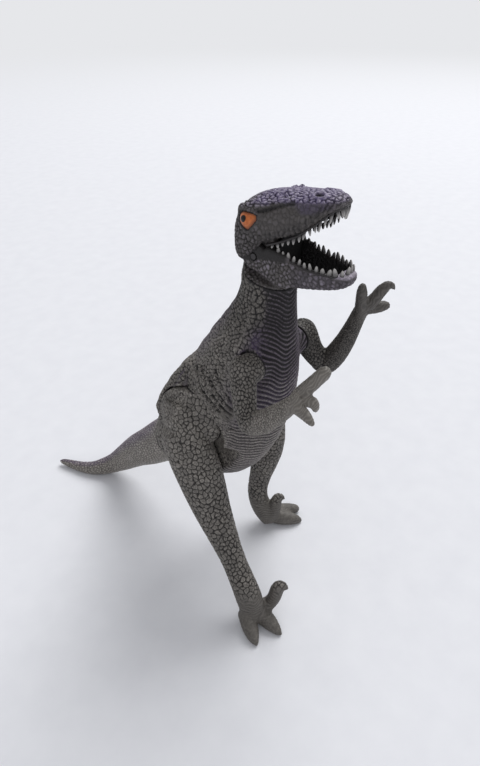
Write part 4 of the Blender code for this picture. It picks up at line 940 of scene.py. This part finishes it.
# ---- Legs ----
# Thick-walled vinyl legs. Rosette scales about 3 mm across run down the thigh and the
# shank; the ankle is ringed with fine creases, and the toes and claws are nearly smooth.
for node, side in (("right_leg", -1), ("left_leg", 1)):
    leg = Skin(node, node, 0.40, node + "_skin")
    leg.ease(70)
    # The haunch is a lens that lies level with the rump round it.
    far, rump = round_hip(leg.at)
    height = side * (leg.at[:, 0] - HIP_SEATS[side])
    cap = RUMP_RIM + 0.4 + 9.0 * (1.0 - np.minimum(far / HIP_RADIUS, 1.0) ** 2)
    leg.at[:, 0] -= side * rump * ~leg.hollow * np.maximum(height - cap, 0.0)
    reach = rump * ~leg.hollow * ramp(height, 1.0, 2.0) * ramp(far, 17.0, 18.3) * (far < HIP_RADIUS)
    spoke = (leg.at[:, 1:] - HIP) / np.maximum(far, 1.0)[:, None]
    leg.at[:, 1:] += spoke * (reach * (HIP_RADIUS - 0.3 - far))[:, None]
    leg.free = np.maximum(leg.free, ramp(leg.gap, 0.25, 0.9) * ~leg.hollow)
    _, y, z = leg.at.T
    rosettes, rosette_tone = leg.scales(2.35, 31)
    long, long_tone = leg.scales(1.15, 37, (0.0, 0.15, 1.0), 2.2)
    behind = ramp(y - HIP[0] + 0.35 * (z - HIP[1]), 2.0, 10.0)
    groove = rosettes * (1.0 - behind) + long * behind
    tone = rosette_tone * (1.0 - behind) + long_tone * behind
    foot = fall(z, 14.0, 24.0)
    rings = waves(z / 1.35 + 0.6 * wander(leg.at, 4.0))
    knuckles = waves(y / 1.5 + 0.6 * wander(leg.at, 3.0, 5.0))
    ankle = foot * ramp(z, 7.0, 11.0)
    toes = fall(z, 7.0, 11.0)
    scaly = 1.0 - foot
    leg.press(scaly * 0.60 * (pebble(groove, 0.25) - 1.0) * (0.7 + 0.6 * tone)
              + 0.16 * ankle * (rings - 1.0) + 0.10 * toes * (knuckles - 1.0))
    # Painted shade lies in the seams (the leg.gap term); the lower leg is made darker toward the bottom.
    leg.paint(groove=scaly * fall(groove, 0.02, 0.40) * 0.85 + ankle * fall(rings, 0.0, 0.5) * 0.22
              + toes * fall(knuckles, 0.0, 0.4) * 0.12 + 0.17 * foot + 0.12 * fall(z, 55.0, 80.0)
              + 0.7 * fall(leg.gap, 0.2, 0.8),
              tone=tone * scaly + 0.4 * foot, violet=np.zeros(len(y)),
              crest=(scaly * ramp(groove, 0.4, 0.65) * (1.0 - 0.8 * ramp(groove, 0.8,
                                                                         1.0)) * (0.35 + 0.65 * tone)
                     + 0.25 * foot * ramp(rings, 0.5, 1.0)),
              clean=0.1 + 0.2 * foot)
    leg.finish(HIDE)


# ---- Tail ----
# The tail is one hollow cone of vinyl that props the figure up. Long scales run along it, they fade
# to a plain underside, and its top is sprayed violet.
tail = Skin("tail_shell", "tail", 0.42, "tail_skin")
tail.ease(90)
_, y, z = tail.at.T
facing = tail.facing()
long, long_tone = tail.scales(1.3, 41, (0.0, 0.8, -0.6), 1.9)
top = ramp(facing @ (0.0, 0.6, 0.8), 0.35, 0.8)
under = ramp(-(facing @ (0.0, 0.6, 0.8)), 0.35, 0.8)
tail.press((1.0 - 0.7 * under) * 0.36 * (pebble(long) - 1.0))
# Painted shade lies in the seam at the tail's root.
tail.paint(groove=fall(long, 0.03, 0.4) * (0.5 - 0.25 * under) + 0.7 * tail.seam_shade(),
           tone=long_tone,
           violet=0.8 * top * ramp(y, 8.0, 18.0),
           crest=ramp(long, 0.4, 0.8) * 0.75,
           clean=0.4 + 0.2 * under)
tail.finish(HIDE)


# ---- Table, light and camera ----
# A pale cloth-covered table top that runs into the pale room behind it; one broad window light from
# behind on the right, so the shadow falls to the left and toward the eye, and a soft even sky all round.
WALL_COLOUR = linear("#e6e7ea")
TABLE = bpy.data.materials.new("pale_table_cloth")
tree = fresh_tree(TABLE)
place = add(tree, "ShaderNodeTexCoord").outputs["Object"]
slub = add(tree, "ShaderNodeTexNoise", {"Scale": MM / 14.0, "Detail": 4.0, "Vector": place}).outputs["Fac"]
weave = add(tree, "ShaderNodeTexNoise", {"Scale": MM / 1.5, "Detail": 2.0, "Vector": place}).outputs["Fac"]
colour = add(tree, "ShaderNodeMix", {"data_type": "RGBA", 6: linear("#dcdde2"), 7: linear("#e6e7eb"),
                                     0: slub}).outputs[2]
bump = add(tree, "ShaderNodeBump", {"Strength": 0.12, "Distance": 0.2 / MM, "Height": weave}).outputs[0]
cloth = add(tree, "ShaderNodeBsdfPrincipled", {"Roughness": 0.85, "Base Color": colour,
                                               "Normal": bump}).outputs[0]
rays = add(tree, "ShaderNodeLightPath")
distance = add(tree, "ShaderNodeVectorMath", {"operation": "LENGTH", 0: place}).outputs["Value"]
far_off = add(tree, "ShaderNodeMapRange", {"interpolation_type": "SMOOTHSTEP", "From Min": 0.7,
                                           "From Max": 3.0,
               "Value": distance}).outputs[0]
faded = add(tree, "ShaderNodeMath", {"operation": "MULTIPLY", 0: far_off,
                                     1: rays.outputs["Is Camera Ray"]}).outputs[0]
haze = add(tree, "ShaderNodeEmission", {"Color": WALL_COLOUR}).outputs[0]
surface = add(tree, "ShaderNodeMixShader", {0: faded, 1: cloth, 2: haze})
add(tree, "ShaderNodeOutputMaterial", {"Surface": surface.outputs[0]})
top_mesh = bmesh.new()
bmesh.ops.create_grid(top_mesh, x_segments=2, y_segments=2, size=16.0)
mesh = baked(top_mesh, "table_top")
mesh.materials.append(TABLE)
table = put("table_top", mesh)

world = bpy.data.worlds.new("soft_room")
bpy.context.scene.world = world
tree = fresh_tree(world)
rays = add(tree, "ShaderNodeLightPath")
seen = add(tree, "ShaderNodeMath", {"operation": "MAXIMUM",
            0: rays.outputs["Is Camera Ray"], 1: rays.outputs["Is Transmission Ray"]}).outputs[0]
room = add(tree, "ShaderNodeBackground", {"Color": linear("#f4f5f8"), "Strength": 0.50})
wall = add(tree, "ShaderNodeBackground", {"Color": WALL_COLOUR, "Strength": 1.0})
both = add(tree, "ShaderNodeMixShader", {0: seen, 1: room.outputs[0], 2: wall.outputs[0]})
add(tree, "ShaderNodeOutputWorld", {"Surface": both.outputs[0]})


def lamp(name, place, target, size, watts, colour):
    """A soft rectangular lamp that looks at the target."""
    data = bpy.data.lights.new(name, "AREA")
    data.shape = "RECTANGLE"
    data.size, data.size_y = size
    data.energy = watts
    data.color = linear(colour)[:3]
    light = put(name, data)
    light.location = place
    light.rotation_euler = (Vector(target) - Vector(place)).to_track_quat("-Z", "Y").to_euler()


lamp("window", (3.1, 0.5, 4.0), (0.0, -0.02, 0.09), (3.5, 3.5), 200.0, "#ffffff")
lamp("room_fill", (-3.75, -2.75, 3.25), (0.0, -0.02, 0.09), (4.5, 4.5), 45.0, "#fbfbff")

IMAGE_HIGH = 766
LENS_PIXELS = 600.0                 # focal length in pixels of the photograph
SENSOR = 36.0
camera_data = bpy.data.cameras.new("camera")
camera_data.sensor_fit = "VERTICAL"
camera_data.sensor_height = SENSOR
camera_data.lens = SENSOR * LENS_PIXELS / IMAGE_HIGH
camera_data.clip_start = 0.01
camera = put("camera", camera_data)
camera.location = (-0.1721, -0.18236, 0.2592)
camera.rotation_euler = Vector((0.635, 0.533, -0.559)).to_track_quat("-Z", "Y").to_euler()
bpy.context.scene.camera = camera
bpy.context.scene.view_settings.view_transform = "Standard"
